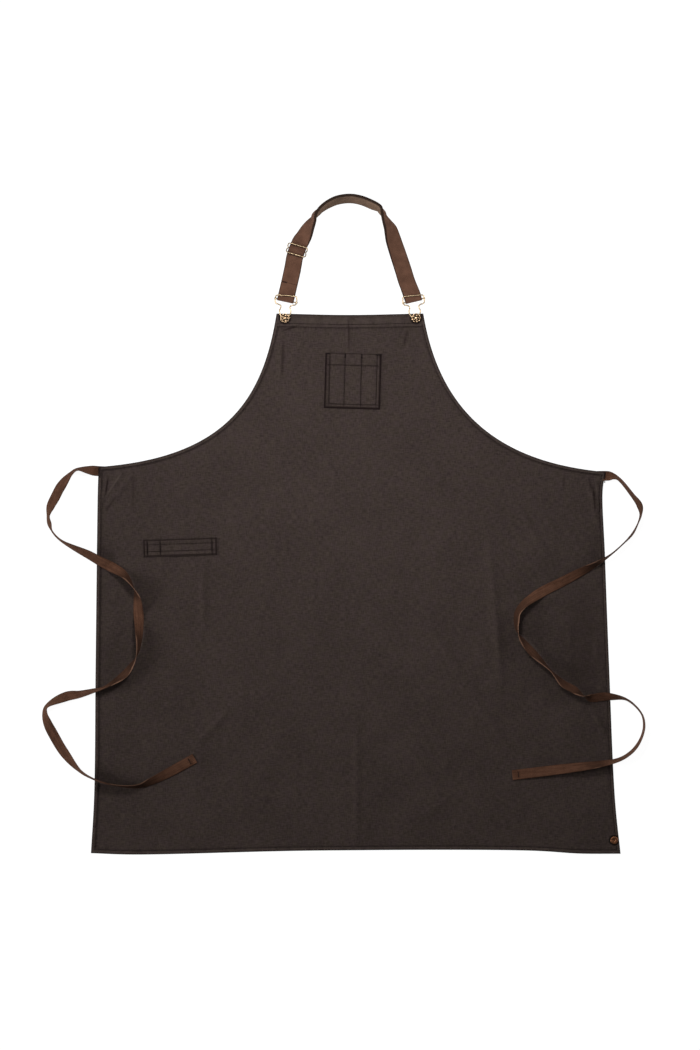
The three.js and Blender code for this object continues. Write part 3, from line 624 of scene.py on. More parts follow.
def armhole(bib, waist, hand, outward):
    t = np.linspace(0, 1, 4 * ARMHOLE_ROWS)[:, None]
    leave = np.array((bib[0] + outward * hand["flare"], bib[1] - hand["drop"]))
    arrive = np.array((waist[0] - outward * hand["run"], waist[1] + hand["rise"]))
    bib, waist = np.array(bib), np.array(waist)
    curve = (1 - t) ** 3 * bib + 3 * (1 - t) ** 2 * t * leave + 3 * (1 - t) * t * t * arrive + t ** 3 * waist
    return evenly(curve, ARMHOLE_ROWS)


# The outline runs clockwise as seen from above: each stretch with the depth of its hem
STRETCHES = [
    (edge_through([BIB_LEFT, *BIB_TOP_BOW, BIB_RIGHT], COLUMNS), TOP_HEM),
    (armhole(BIB_RIGHT, WAIST_RIGHT, ARMHOLE_RIGHT, 1), SIDE_HEM),
    (edge_through([WAIST_RIGHT, *SIDE_RIGHT_BOW, HEM_RIGHT], SIDE_ROWS), SIDE_HEM),
    (edge_through([HEM_LEFT, *HEM_BOW, HEM_RIGHT], COLUMNS)[::-1], BOTTOM_HEM),
    (edge_through([WAIST_LEFT, *SIDE_LEFT_BOW, HEM_LEFT], SIDE_ROWS)[::-1], SIDE_HEM),
    (armhole(BIB_LEFT, WAIST_LEFT, ARMHOLE_LEFT, -1)[::-1], SIDE_HEM),
]


def inset(depths):
    """The outline moved inwards by a depth for each stretch, with mitred corners, stretch by stretch."""
    moved, ahead = [], []
    for (points, _hem), depth in zip(STRETCHES, depths):
        along = unit(np.gradient(points, axis=0))
        moved.append(points + depth * np.stack([along[:, 1], -along[:, 0]], 1))
        ahead.append(along)
    count = len(moved)
    into = []
    for k in range(count):
        directions = np.stack([ahead[k - 1][-1], -ahead[k][0]], 1)
        back, forward = np.linalg.solve(directions, moved[k][0] - moved[k - 1][-1])
        into.append((-back, forward))
    return [
        evenly(moved[k], len(moved[k]) - 1, into[k][1], into[(k + 1) % count][0])
        for k in range(count)
    ]


def ripple(along, wavelength, phase):
    """An uneven wave along an edge, between about -1 and 1."""
    beats = ((1.0, 1.0, 1.0), (0.7, 0.61, 2.3), (0.5, 1.73, 4.1))
    return sum(size * np.sin(2 * math.pi * along / (wavelength * share) + phase * shift)
               for size, share, shift in beats) / 2.2


def pleat(x, y, start, end, reach):
    """A streak between two places: 1 on its middle, fading out to its sides and ends."""
    run = math.dist(start, end)
    ahead = ((end[0] - start[0]) / run, (end[1] - start[1]) / run)
    along = (x - start[0]) * ahead[0] + (y - start[1]) * ahead[1]
    aside = (x - start[0]) * ahead[1] - (y - start[1]) * ahead[0]
    return aside.size().rise(reach, 0.0) * (along - run / 2).size().rise(run / 2, run / 8)


def drill_material():
    material, shader, field = new_material("brown_drill")
    place = field.on_object()
    x, y = place.axes()
    twill = (x + y * 0.62).wave(TWILL_PITCH)
    weft = place.stretch((105, 640, 1)).noise(1.0)
    warp = place.stretch((640, 105, 1)).noise(1.0)
    patches = place.noise(11.0)
    fuzz = place.noise(1500.0)
    shade = (weft + warp * 0.8 + patches * 0.25 + fuzz * 0.1).rise(0.77, 1.37)
    warm = shade.mix((0.0232, 0.0170, 0.0142, 1), (0.0428, 0.0314, 0.0264, 1))
    cool = shade.mix((0.0230, 0.0163, 0.0150, 1), (0.0424, 0.0302, 0.0280, 1))
    tone = place.noise(70.0).rise(0.35, 0.65).mix(warm, cool)
    # Lighter tone for the hems' ridges and the patches' edges, partly wear and partly painted highlight, and
    # for the bright painted pleats
    wear_and_highlight_tone = (0.060, 0.045, 0.039, 1)
    wear_and_painted_light = (field.mark("wear_and_highlight") * 0.62).mix(tone, wear_and_highlight_tone)
    # Painted shade and painted highlight along the pleats
    for start, end, reach, depth in PAINTED_PLEATS:
        streak = wear_and_highlight_tone if depth < 0 else (0.0090, 0.0050, 0.0046, 1)
        wear_and_painted_light = (pleat(x, y, start, end, reach) * abs(depth)).mix(wear_and_painted_light, streak)
    # Painted shade round the buttons and the rivet
    for middle, close, far in CAP_SHADE_RINGS:
        away = (x - middle[0]) * (x - middle[0]) + (y - middle[1]) * (y - middle[1])
        wear_and_painted_light = (away.rise(far ** 2, close ** 2) * 0.9).mix(wear_and_painted_light, (0.0040, 0.0024, 0.0022, 1))
    weave = twill * 0.5 + weft * 1.2 + warp * 1.2 + fuzz
    laid = place.noise(1 / RUMPLE_SIZE) * RUMPLE_HEIGHT
    field.feed(shader, {
        # The seam mark darkens the sewn lines, and it is painted shade on the hem's rolled edge and along the
        # pocket's edges and mouth
        "Base Color": (field.mark("seam") * 0.9).mix(wear_and_painted_light, (0.0050, 0.0023, 0.0024, 1)),
        "Roughness": 0.92,
        "Specular IOR Level": 0.05,
        "Normal": weave.bump(0.35, 0.00025, over=laid.bump(1.0, 1.0)),
    })
    return material


# The sewn lines in the section of the hem, the second of them in the bib's top hem only
SECOND_ROW = 0.0171
SEWN = (-0.0009, 1, TURNED_EDGE - 0.0004, 0.3, 0.9, 0)
SEWN_TWICE = (0, SECOND_ROW / TOP_HEM, TURNED_EDGE - 0.0001, 1, 0.9, 0)


def panel_mesh():
    rim = sum(len(points) - 1 for points, _hem in STRETCHES)
    rows = ARMHOLE_ROWS + SIDE_ROWS
    hems = np.array([hem for _points, hem in STRETCHES])
    # Section of the hem, from the field's underside round the edge to the field's top: inset as a length,
    # inset as a share of the hem, height, pucker, seam (dark sewn lines, and painted shade on the rolled
    # edge) and the mark of wear and painted highlight along the hem's ridge
    half = TURNED_EDGE / 2
    section = [(HEM_STEP, 1.0, 0, 0, 0, 0), (0, 0.5, 0, 0, 0, 0)]
    # The rolled edge carries the seam mark as painted shade where the edge turns down
    for turn in np.radians((-90, -45, 0, 45, 90)):
        section.append((EDGE_ROLL * (1 - math.cos(turn)), 0, half * (1 + math.sin(turn)), 0, 0.65, 0))
    section += [
        (0.0010, 0, TURNED_EDGE + 0.0001, 0.3, 0.2, 0.2), (0, 0.35, TURNED_EDGE + 0.0001, 0.8, 0, 0.7),
        (-0.0009, SEWN_TWICE[1], TURNED_EDGE, 1, 0, 0.5), SEWN_TWICE,
        (0.0007, SEWN_TWICE[1], TURNED_EDGE, 1, 0, 0.4), (-0.0020, 1, TURNED_EDGE, 0.8, 0, 0.2),
        (-0.0013, 1, TURNED_EDGE - 0.00005, 0.6, 0.3, 0), SEWN,
        (-0.0005, 1, TURNED_EDGE - 0.0001, 0.6, 0.3, 0.2), (0.0001, 1, TURNED_EDGE - 0.0002, 0.8, 0.2, 0.3),
        (0.0005, 1, CLOTH + 0.0003, 0.4, 0.5, 0), (HEM_STEP, 1, CLOTH, 0, 0.1, 0),
    ]
    outer = np.vstack([points[:-1] for points, _hem in STRETCHES])
    along = lengths(outer)
    points, seam_and_shade_marks, wear_and_highlight_marks = [], [], []
    for row in section:
        fixed, share, height, pucker, seam, wear_and_highlight = row
        ring = np.vstack([part[:-1] for part in inset(fixed + share * hems)])
        gather = PUCKER_HEIGHT * pucker * ripple(along, PUCKER_WAVE, 1.0 + share)
        lift = cloth_height(*ring.T) + height + gather
        if len(points) > section.index(SEWN):
            lift += crease_height(*ring.T)
        points.append(np.column_stack([ring, lift]))
        sewn_here = (np.arange(rim) < COLUMNS) | (row is not SEWN_TWICE)
        seam_and_shade_marks.append(seam * sewn_here)
        wear_and_highlight_marks.append(np.full(rim, wear_and_highlight) * (0.5 + 0.5 * ripple(along, WEAR_AND_HIGHLIGHT_WAVE, 2.0)))
    faces = ring_faces(len(section), rim)

    # The field inside the hems is blended from its four edges, with wider steps on the underside
    for ring, step in ((0, UNDERSIDE_STEP), (len(section) - 1, 1)):
        top = np.arange(0, COLUMNS + 1, step)
        right = COLUMNS + np.arange(0, rows + 1, step)
        bottom = 2 * COLUMNS + rows - np.arange(0, COLUMNS + 1, step)
        left = (2 * (COLUMNS + rows) - np.arange(0, rows + 1, step)) % rim
        inner = points[ring][:, :2]
        u = np.linspace(0, 1, len(top))[None, :, None]
        v = np.linspace(0, 1, len(left))[:, None, None]
        across = (1 - u) * inner[left][:, None] + u * inner[right][:, None]
        down = (1 - v) * inner[top][None] + v * inner[bottom][None]
        upper = (1 - u) * inner[top[0]] + u * inner[top[-1]]
        lower = (1 - u) * inner[bottom[0]] + u * inner[bottom[-1]]
        field = (across + down - (1 - v) * upper - v * lower)[1:-1, 1:-1].reshape(-1, 2)
        lift = cloth_height(*field.T) + (CLOTH + crease_height(*field.T) if ring else 0)
        ids = np.empty((len(left), len(top)), int)
        ids[0], ids[-1], ids[:, 0], ids[:, -1] = top, bottom, left, right
        ids += ring * rim
        first = sum(len(part) for part in points)
        ids[1:-1, 1:-1] = first + np.arange(len(field)).reshape(len(left) - 2, len(top) - 2)
        points.append(np.column_stack([field, lift]))
        seam_and_shade_marks.append(np.zeros(len(field)))
        wear_and_highlight_marks.append(np.zeros(len(field)))

        def between(start):
            return [ring * rim + (start - back) % rim for back in range(1, step)]

        for j in range(len(left) - 1):
            for i in range(len(top) - 1):
                cell = [ids[j, i]]
                cell += between(left[j]) if i == 0 else []
                cell.append(ids[j + 1, i])
                cell += between(bottom[i]) if j == len(left) - 2 else []
                cell.append(ids[j + 1, i + 1])
                cell += between(right[j + 1]) if i == len(top) - 2 else []
                cell.append(ids[j, i + 1])
                cell += between(top[i + 1]) if j == 0 else []
                faces.append(tuple(int(corner) for corner in cell))
    marks = {"seam": np.concatenate(seam_and_shade_marks), "wear_and_highlight": np.concatenate(wear_and_highlight_marks)}
    return make_mesh("panel", np.vstack(points), faces, DRILL, marks=marks), points[section.index(SEWN)]


DRILL = drill_material()
panel_skin, sewn_line = panel_mesh()
panel = add_object("panel", panel_skin)
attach(panel, "root")
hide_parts("apron_panel")

# Hem stitching: one row all round, a second row in the bib's top hem, and tacks where the ties are sewn in
HEM_PITCH, HEM_STITCH, HEM_THREAD, TOP_HEM_THREAD = 0.0030, 0.0024, 0.0006, 0.0009
TACK_INSET, TACK_FROM, TACK_TO = 0.0022, 0.001, 0.019
THREAD_LIFT = 0.0002
hem_row = sewn_line + (0, 0, THREAD_LIFT)
second_row = inset([SECOND_ROW, SIDE_HEM, SIDE_HEM, BOTTOM_HEM, SIDE_HEM, SIDE_HEM])[0]
second_row = np.column_stack([second_row, cloth_height(*second_row.T) + TURNED_EDGE + THREAD_LIFT])
sew("hem_stitches", [np.vstack([hem_row[COLUMNS:], hem_row[:1]])], HEM_PITCH, HEM_STITCH, HEM_THREAD, seed=3)
sew("top_hem_stitches", [hem_row[:COLUMNS + 1], second_row], HEM_PITCH, HEM_STITCH, TOP_HEM_THREAD, seed=2)
tie_tacks = []
for corner, inward in ((WAIST_LEFT, 1), (WAIST_RIGHT, -1)):
    tack = np.array([(corner[0] + inward * TACK_INSET, corner[1] - drop) for drop in (TACK_FROM, TACK_TO)])
    tie_tacks.append(np.column_stack([tack, cloth_height(*tack.T) + TURNED_EDGE + THREAD_LIFT]))
sew("tie_tacks", tie_tacks, pitch=0.0009, length=0.0030, thread=0.0008, turn=math.pi / 2, seed=4)


# Chest pocket. A small patch of the same drill on the bib, turned in at its edges and sewn down with
# two rows of dark thread, then sewn into three pen slots that stand open at the top.
POCKET_AT, POCKET_TURN = (-0.0053, 0.255), -1.6
POCKET_WIDTH, POCKET_DEPTH = 0.1004, 0.0985
POCKET_SLOTS = (0.0085, 0.0355, 0.065, 0.0925)
POCKET_TOP_HEM, POCKET_FOOT = 0.021, 0.0905
POCKET_EDGE_ROW = 0.0016
POCKET_RISE, POCKET_MOUTH = 0.0013, 0.02
PATCH_CLOTH, PATCH_EDGE, PATCH_EDGE_BAND = 0.0009, 0.0019, 0.007
PATCH_ROLL, PATCH_LINE = 0.0008, 0.0014
SEAM_DENT, SEAM_SINK, SEAM_END = 0.0003, 0.0005, 0.001
EDGE_WEAR_AND_HIGHLIGHT = 0.0016
ACROSS, DOWN = 0, 1
pocket_far, pocket_low = POCKET_WIDTH - POCKET_EDGE_ROW, POCKET_DEPTH - POCKET_EDGE_ROW
# Sewn lines: how dark they are, which way they are counted, their places and how far they reach. The wide
# lines at the pocket's edges add painted shade there, and the line on its top edge is painted shade at the
# mouths.
POCKET_LINES = [
    (0.7, ACROSS, POCKET_SLOTS, 0.0014), (0.6, DOWN, (POCKET_TOP_HEM, POCKET_FOOT), 0.0014),
    (1.0, ACROSS, (POCKET_EDGE_ROW, pocket_far), 0.0030), (1.0, DOWN, (pocket_low,), 0.0030),
    (0.7, DOWN, (0.0,), 0.0018),
]


def patch_lines(length):
    """Mesh lines over a patch: close together on its rolled edges and even between them."""
    roll = np.array((0, 0.04, 0.16, 0.4, 0.75)) * PATCH_ROLL
    even = np.linspace(PATCH_ROLL, length - PATCH_ROLL, round(length / PATCH_LINE))
    return np.concatenate([roll, even, length - roll[::-1]])


def near(place, lines, width):
    """1 close to any of the lines, fading to 0 at the width."""
    return np.max([np.clip(1.5 * (1 - np.abs(place - line) / width), 0, 1) for line in lines], axis=0)


def on_panel(x, y, at, turn):
    """Places counted from a piece's own middle, turned by degrees and moved to where it lies."""
    turn = math.radians(turn)
    return at[0] + x * math.cos(turn) - y * math.sin(turn), at[1] + x * math.sin(turn) + y * math.cos(turn)


def arch(x, start, end):
    """A slot that stands open between two seams: 0 at each of them and 1 midway."""
    return np.sin(math.pi * np.clip((x - start) / (end - start), 0, 1))


def patch_mesh(name, width, depth, at, turn, rise, sewn_lines):
    """A patch of cloth sewn on the panel. rise gives its lift at x across and y down."""
    x, y = np.meshgrid(patch_lines(width), patch_lines(depth))
    edge = np.minimum(np.minimum(x, width - x), np.minimum(y, depth - y))
    hem = fade(edge, PATCH_EDGE_BAND * 0.8, PATCH_EDGE_BAND)
    thickness = PATCH_CLOTH + (PATCH_EDGE - PATCH_CLOTH) * hem
    half = thickness / 2 * np.sqrt(1 - (1 - np.clip(edge / PATCH_ROLL, 0, 1)) ** 2)
    px, py = on_panel(x - width / 2, depth / 2 - y, at, turn)
    seams = [dark * near((x, y)[way], lines, reach) for dark, way, lines, reach in sewn_lines]
    sewn = np.max(seams, axis=0)
    middle = cloth_height(px, py) + CLOTH + thickness / 2 + rise(x, y) - SEAM_DENT * sewn
    skins = [np.stack([px, py, middle + side * half], -1).reshape(-1, 3) for side in (1, -1)]
    rows, columns = x.shape
    faces = []
    for start in (0, x.size):
        for j in range(rows - 1):
            for i in range(columns - 1):
                a = start + j * columns + i
                faces.append((a, a + columns, a + columns + 1, a + 1))
    # Wear with a painted highlight along the patch's rolled edges
    wear_and_painted_light = 0.5 * np.clip(1 - edge / EDGE_WEAR_AND_HIGHLIGHT, 0, 1)
    marks = {"seam": np.tile(sewn.ravel(), 2), "wear_and_highlight": np.tile(wear_and_painted_light.ravel(), 2)}
    return make_mesh(name, np.vstack(skins), faces, DRILL, marks=marks)


def pocket_rise(x, y):
    slots = zip(POCKET_SLOTS[:-1], POCKET_SLOTS[1:])
    return POCKET_RISE * sum(arch(x, *slot) for slot in slots) * fade(y, POCKET_MOUTH, POCKET_FOOT)


def sewn_on(line, width, depth, at, turn, rise):
    """A seam on a patch, from places across and down it to points on its surface."""
    SEAM_STEPS = 40
    x, y = evenly(np.array(line, float), SEAM_STEPS).T
    px, py = on_panel(x - width / 2, depth / 2 - y, at, turn)
    return np.column_stack([px, py, cloth_height(px, py) + CLOTH + PATCH_EDGE - SEAM_SINK + rise(x, y)])


pocket = add_object("pen_pocket", patch_mesh(
    "pen_pocket", POCKET_WIDTH, POCKET_DEPTH, POCKET_AT, POCKET_TURN, pocket_rise, POCKET_LINES))
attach(pocket, "root")
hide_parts("chest_pocket")

pocket_place = (POCKET_WIDTH, POCKET_DEPTH, POCKET_AT, POCKET_TURN, pocket_rise)
pocket_rows = []
for near_side, far_side, foot in (
    (POCKET_EDGE_ROW, pocket_far, pocket_low), (POCKET_SLOTS[0], POCKET_SLOTS[-1], POCKET_FOOT),
):
    pocket_rows.append([(near_side, SEAM_END), (near_side, foot), (far_side, foot), (far_side, SEAM_END)])
pocket_rows.append([(POCKET_EDGE_ROW, POCKET_TOP_HEM), (pocket_far, POCKET_TOP_HEM)])
pocket_rows += [[(slot, SEAM_END), (slot, pocket_low)] for slot in POCKET_SLOTS[1:-1]]
pocket_seams = [sewn_on(row, *pocket_place) for row in pocket_rows]
sew("pocket_stitches", pocket_seams, pitch=0.0026, length=0.0023, thread=0.0008, seed=5)

# Bar tacks down the two inner slots and along the mouth's two corners
SLOT_TACK, MOUTH_TACK, TACK_LIFT = (0.0008, 0.0075), 0.0012, 0.0006
LEFT_TACK, RIGHT_TACK = (0.0012, 0.0075), (POCKET_WIDTH - 0.0105, POCKET_WIDTH - 0.0012)
tacks = [[(slot, down) for down in SLOT_TACK] for slot in POCKET_SLOTS[1:-1]]
tacks += [[(x, MOUTH_TACK) for x in ends] for ends in (LEFT_TACK, RIGHT_TACK)]
tack_rows = [sewn_on(tack, *pocket_place) + (0, 0, TACK_LIFT) for tack in tacks]
sew("pocket_bar_tacks", tack_rows, pitch=0.0008, length=0.0030, thread=0.0012, turn=math.pi / 2, seed=7)


# Towel loop. A folded strip of drill sewn down near the hip, with a narrow slot and one long loop.
# Its long edges are turned in and edge sewn, and three rows cross it.
LOOP_AT, LOOP_TURN = (-0.3124, -0.0405), 1.8
LOOP_LENGTH, LOOP_WIDTH = 0.131, 0.031
LOOP_SEAMS = (0.007, 0.030, 0.122)
LOOP_RISES = (0.0012, 0.0022)
LOOP_ROWS = (0.0016, 0.0095, 0.0215, 0.0294)
LOOP_END_ROW, LOOP_ROW_END = 0.0012, 0.0008
LOOP_END_LINE = 0.0014
LOOP_LINES = [
    (0.85, ACROSS, (LOOP_END_LINE, LOOP_LENGTH - LOOP_END_LINE), 0.0024),
    (0.8, DOWN, (LOOP_ROWS[0], LOOP_ROWS[-1]), 0.0020),
    (0.8, ACROSS, LOOP_SEAMS, 0.0016), (0.5, DOWN, LOOP_ROWS[1:-1], 0.0012),
]


def loop_rise(x, _y):
    slots = zip(LOOP_SEAMS[:-1], LOOP_SEAMS[1:], LOOP_RISES)
    return sum(rise * arch(x, start, end) for start, end, rise in slots)


loop = add_object("hip_loop", patch_mesh(
    "hip_loop", LOOP_LENGTH, LOOP_WIDTH, LOOP_AT, LOOP_TURN, loop_rise, LOOP_LINES))
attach(loop, "root")
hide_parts("towel_loop")
loop_place = (LOOP_LENGTH, LOOP_WIDTH, LOOP_AT, LOOP_TURN, loop_rise)
loop_rows = [[(SEAM_END, row), (LOOP_LENGTH - SEAM_END, row)] for row in LOOP_ROWS]
for end_row in (LOOP_END_ROW, LOOP_LENGTH - LOOP_END_ROW):
    loop_rows.append([(end_row, LOOP_ROW_END), (end_row, LOOP_WIDTH - LOOP_ROW_END)])
loop_seams = [sewn_on(row, *loop_place) for row in loop_rows]
sew("loop_stitches", loop_seams, pitch=0.0026, length=0.0022, thread=0.0006, seed=9)
cross_rows = [[(seam, SEAM_END), (seam, LOOP_WIDTH - SEAM_END)] for seam in LOOP_SEAMS]
cross_seams = [sewn_on(row, *loop_place) for row in cross_rows]
sew("loop_cross_stitches", cross_seams, pitch=0.0022, length=0.0024, thread=0.0012, seed=11)


# Neck strap. One length of brown 30 mm cotton webbing, turned round the slide bar of each buckle.
# Over the neck it stands on its edge. Its raised edge is woven in near-black yarn, a band that painted shade
# widens where the strap stands steep.
STRAP_WIDTH, STRAP_THICKNESS = 0.030, 0.0014
STRAP_STEPS = 10
STRAP_GAP = 0.0003
WEBBING_RIB, WEBBING_CORD = 0.0016, 0.0013
SELVEDGE_SHADE_DEPTH, SELVEDGE_FADE, FAR_EDGE_FADE = 0.0035, (0.0008, 0.0018), (0.0132, 0.0146)
BAR_REACH, BAR_HEIGHT, BAR_RADIUS = 0.0317, 0.0027, 0.0010
FRAME_LEAN = {"left": -4.5, "right": 5.5}
BAR_LEAN = {"left": -12.0, "right": 13.3}
STRAP_OFF_CENTRE = {"left": -0.001, "right": 0.0}
BUCKLE_SEATS = {
    "left": (LEFT_BUTTON[0] - 0.0006, LEFT_BUTTON[1] - 0.0005),
    "right": (RIGHT_BUTTON[0] - 0.0013, RIGHT_BUTTON[1] - 0.0008),
}
UNDER_TOP_BAR = 0.0088
ON_TAIL, STRAP_LOW = 0.0018, 0.0003
LEFT_TAIL, RIGHT_TAIL = 0.058, 0.024
# Runs as in the routes of the ties. The strap dips under the slider's sides and rises over its bar.
STRAP_ROUTE = [
    (ON_TAIL, [(-0.1174, 0.432, 0), (-0.1112, 0.4608, 0)]),
    (0.0008, [(-0.1092, 0.473, 0)]),
    (0.0005, [(-0.1069, 0.4816, 0)]),
    (0.0028, [(-0.1046, 0.4884, 0)]),
    (0.0005, [(-0.1017, 0.4954, 0)]),
    (0.0004, [(-0.099, 0.5016, 0)]),
    (STRAP_LOW, [
        (-0.0926, 0.512, -20), (-0.0849, 0.5279, -43), (-0.0768, 0.542, -66), (-0.071, 0.5515, -90),
        (-0.061, 0.5603, -107), (-0.0495, 0.5684, -113), (-0.0328, 0.576, -117), (-0.0102, 0.579, -118),
        (0.0093, 0.5758, -118), (0.0295, 0.5676, -118), (0.0415, 0.5615, -110), (0.0465, 0.5555, -90),
        (0.0511, 0.5475, -73), (0.0569, 0.5361, -57), (0.0622, 0.5252, -40), (0.0674, 0.5055, -22),
        (0.0752, 0.4813, -12), (0.0839, 0.4548, -4),
    ]),
    (ON_TAIL, [(0.091, 0.4318, 0)]),
]

# Lines on the strap that lie in the shadow of the slider's two outer bars and the buckles' top bars
BAR_SHADOW = 0.0017
BAR_SHADOWS = [
    ((-0.1296, 0.5030), (-0.0759, 0.4871)), ((-0.1346, 0.4861), (-0.0809, 0.4702)),
    ((-0.1514, 0.4085), (-0.0956, 0.4041)), ((0.0744, 0.4034), (0.1301, 0.4088)),
]


def slide_bar(side):
    """Middle of a buckle's slide bar, and the directions along the bar and up the strap's leg."""
    lean, turn = math.radians(FRAME_LEAN[side]), math.radians(BAR_LEAN[side])
    x, y = BUCKLE_SEATS[side]
    middle = np.array((x - BAR_REACH * math.sin(lean), y + BAR_REACH * math.cos(lean), BAR_HEIGHT))
    along = np.array((math.cos(turn), math.sin(turn), 0))
    up_leg = np.array((-math.sin(turn), math.cos(turn), 0))
    return middle, along, up_leg


def strap_on_bar(side):
    """Middle of the strap on its slide bar, and the direction up its leg."""
    middle, along, up_leg = slide_bar(side)
    return middle + along * STRAP_OFF_CENTRE[side], up_leg


def strap_end(side, tail, leg):
    """Line of the strap from its hidden tail under its leg round to the top of the slide bar."""
    TAIL_STEPS, TURN_STEPS = 12, 14
    middle, up_leg = strap_on_bar(side)
    radius = BAR_RADIUS + STRAP_GAP + STRAP_THICKNESS / 2
    runs = np.linspace(tail, 0, TAIL_STEPS, endpoint=False)[:, None]
    turn = np.linspace(0, math.pi, TURN_STEPS, endpoint=False)[:, None]
    towards = unit(np.array((leg[0] - middle[0], leg[1] - middle[1], 0)))
    drop = np.array((0, 0, radius))
    flat = middle + towards * runs - drop
    bend = middle - up_leg * radius * np.sin(turn) - drop * np.cos(turn)
    return np.vstack([flat, bend])


def strap_leg(side):
    """Rows of the route over the slide bar and down behind the buckle's top bar."""
    middle, up_leg = strap_on_bar(side)
    over_bar = BAR_HEIGHT + BAR_RADIUS + STRAP_GAP
    places = [(middle, over_bar), (middle + up_leg * UNDER_TOP_BAR, ON_TAIL)]
    return [(place[0], place[1], 0, low) for place, low in places]


def webbing_material():
    material, shader, field = new_material("cotton_webbing")
    place = field.on_weave()
    along, over = place.axes()
    ribs = along.wave(WEBBING_RIB)
    cords = (over + along * 0.35).wave(WEBBING_CORD)
    patches = place.noise(60.0, 3.0)
    grain = place.stretch((1.5, 1, 1)).noise(1000.0, 3.0)
    shade = (patches * 0.5 + grain * 0.8 + ribs * cords * 0.16).rise(0.35, 1.0)
    front_tone = shade.mix((0.050, 0.0236, 0.0148, 1), (0.132, 0.0650, 0.0416, 1))
    # The back face, which is what shows on the arc over the neck, takes a lighter copy of the front's tone:
    # painted light
    back_tone = shade.mix((0.063, 0.0382, 0.0252, 1), (0.167, 0.1055, 0.0715, 1))
    tone = field.mark("back").mix(front_tone, back_tone)
    x, y = field.on_object().axes()
    for start, end in BAR_SHADOWS:
        tone = (pleat(x, y, start, end, BAR_SHADOW) * 0.85).mix(tone, (0.010, 0.005, 0.0035, 1))
    # Near-black yarn on the raised edge, a band that painted shade widens where the steep mark is high
    selvedge_and_shade = 1 - (over + STRAP_WIDTH / 2 - field.mark("steep") * SELVEDGE_SHADE_DEPTH).rise(*SELVEDGE_FADE)
    far_edge = over.rise(*FAR_EDGE_FADE)
    field.feed(shader, {
        "Base Color": (selvedge_and_shade * 0.9 + far_edge * 0.7).mix(tone, (0.012, 0.006, 0.004, 1)),
        "Roughness": 0.88,
        "Specular IOR Level": 0.08,
        "Normal": (ribs * cords * 0.8 + grain * 1.2).bump(0.5, 0.0004),
    })
    return material


over_neck = route_rows(STRAP_ROUTE)
strap_rows = [*strap_leg("left"), *over_neck, *reversed(strap_leg("right"))]
strap_line, strap_across = ribbon_line(strap_rows, STRAP_WIDTH, STRAP_THICKNESS, STRAP_STEPS)
left_end = strap_end("left", LEFT_TAIL, over_neck[0])
right_end = strap_end("right", RIGHT_TAIL, over_neck[-1])[::-1]
strap_line = np.vstack([left_end, strap_line, right_end])
strap_across = np.vstack([
    np.repeat([-slide_bar("left")[1]], len(left_end), 0), strap_across,
    np.repeat([slide_bar("right")[1]], len(right_end), 0),
])
# Half the thickness from edge to edge: the plain weave, the bead on the raised edge, and the curl of the
# webbing where it turns over its edge
STRAP_EDGE = STRAP_THICKNESS / 2 * np.array([0.4, 0.85, 1, 1, 1, 1, 1, 1, 1, 1, 1, 0.85, 0.4])
SELVEDGE_BEAD = 0.0016 * np.array([0.9, 1, 0.85, 0.4, 0.1, 0, 0, 0, 0, 0, 0, 0, 0])
TWIST_BULGE = 0.0050 * np.array([0, 0.04, 0.15, 0.35, 0.6, 0.85, 1, 1, 0.9, 0.7, 0.4, 0.1, 0])
TWIST_PLAIN, TWIST_FULL, TWIST_END = 0.7, 0.08, 0.45
# How steep the strap stands: the mark made from it sets how far painted shade widens the dark band on the
# raised edge, held back where the strap is edge on at a twist
steep = np.abs(strap_across[:, 2])
edge_on = fade(np.hypot(strap_across[:, 0], strap_across[:, 1]), TWIST_FULL, TWIST_END)
strap_half = STRAP_EDGE + steep[:, None] * SELVEDGE_BEAD + edge_on[:, None] * TWIST_BULGE
strap = add_object("webbing_strap", ribbon_mesh(
    "webbing_strap", strap_line, strap_across, STRAP_WIDTH, strap_half, webbing_material(),
    {"steep": steep - TWIST_PLAIN * edge_on}))
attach(strap, "root")
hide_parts("neck_strap")

# The tail of the left leg is caught by a short bar tack and one row of thread across the strap
CAUGHT_AT = (-0.1177, 0.4302)
caught = int(np.argmin(np.hypot(*(strap_line[:, :2] - CAUGHT_AT).T) - strap_line[:, 2]))
CAUGHT_TACK, CAUGHT_ROW = (0.0128, 0.0050), (0.0050, -0.0125)
CAUGHT_STEPS, CAUGHT_LIFT = 12, 0.6 * STRAP_THICKNESS


def across_strap(start, stop):
    over = np.linspace(start, stop, CAUGHT_STEPS)[:, None]
    return strap_line[caught] + strap_across[caught] * over + (0, 0, CAUGHT_LIFT)


sew("strap_tack", [across_strap(*CAUGHT_TACK)], pitch=0.0008, length=0.0024, thread=0.0010,
    turn=math.pi / 2, seed=13)
sew("strap_stitches", [across_strap(*CAUGHT_ROW)], pitch=0.0028, length=0.0024, thread=0.0007, seed=14)


# Strap slider. A bent brass wire frame with one cross bar, threaded on the left leg of the strap.
# The strap runs under its long sides and over the bar.
SLIDER_AT, SLIDER_TURN = (-0.1047, 0.4884), -16.5
SLIDER_WIRE, SLIDER_WAIST, SLIDER_BAR_HEIGHT = 0.0010, 0.0165, 0.0012
SLIDER_STEPS, SLIDER_BAR_STEPS = 10, 20
SLIDER_HALF = [
    (0.0065, 0.0085, 0.0038), (0.0142, 0.0085, 0.0038), (0.0174, 0.007, 0.0035), (0.0178, 0.0038, 0.0024),
    (SLIDER_WAIST, 0, 0.0016), (0.0178, -0.0038, 0.0024), (0.0174, -0.007, 0.0035), (0.0142, -0.0085, 0.0038),
    (0.0065, -0.0085, 0.0038),
]


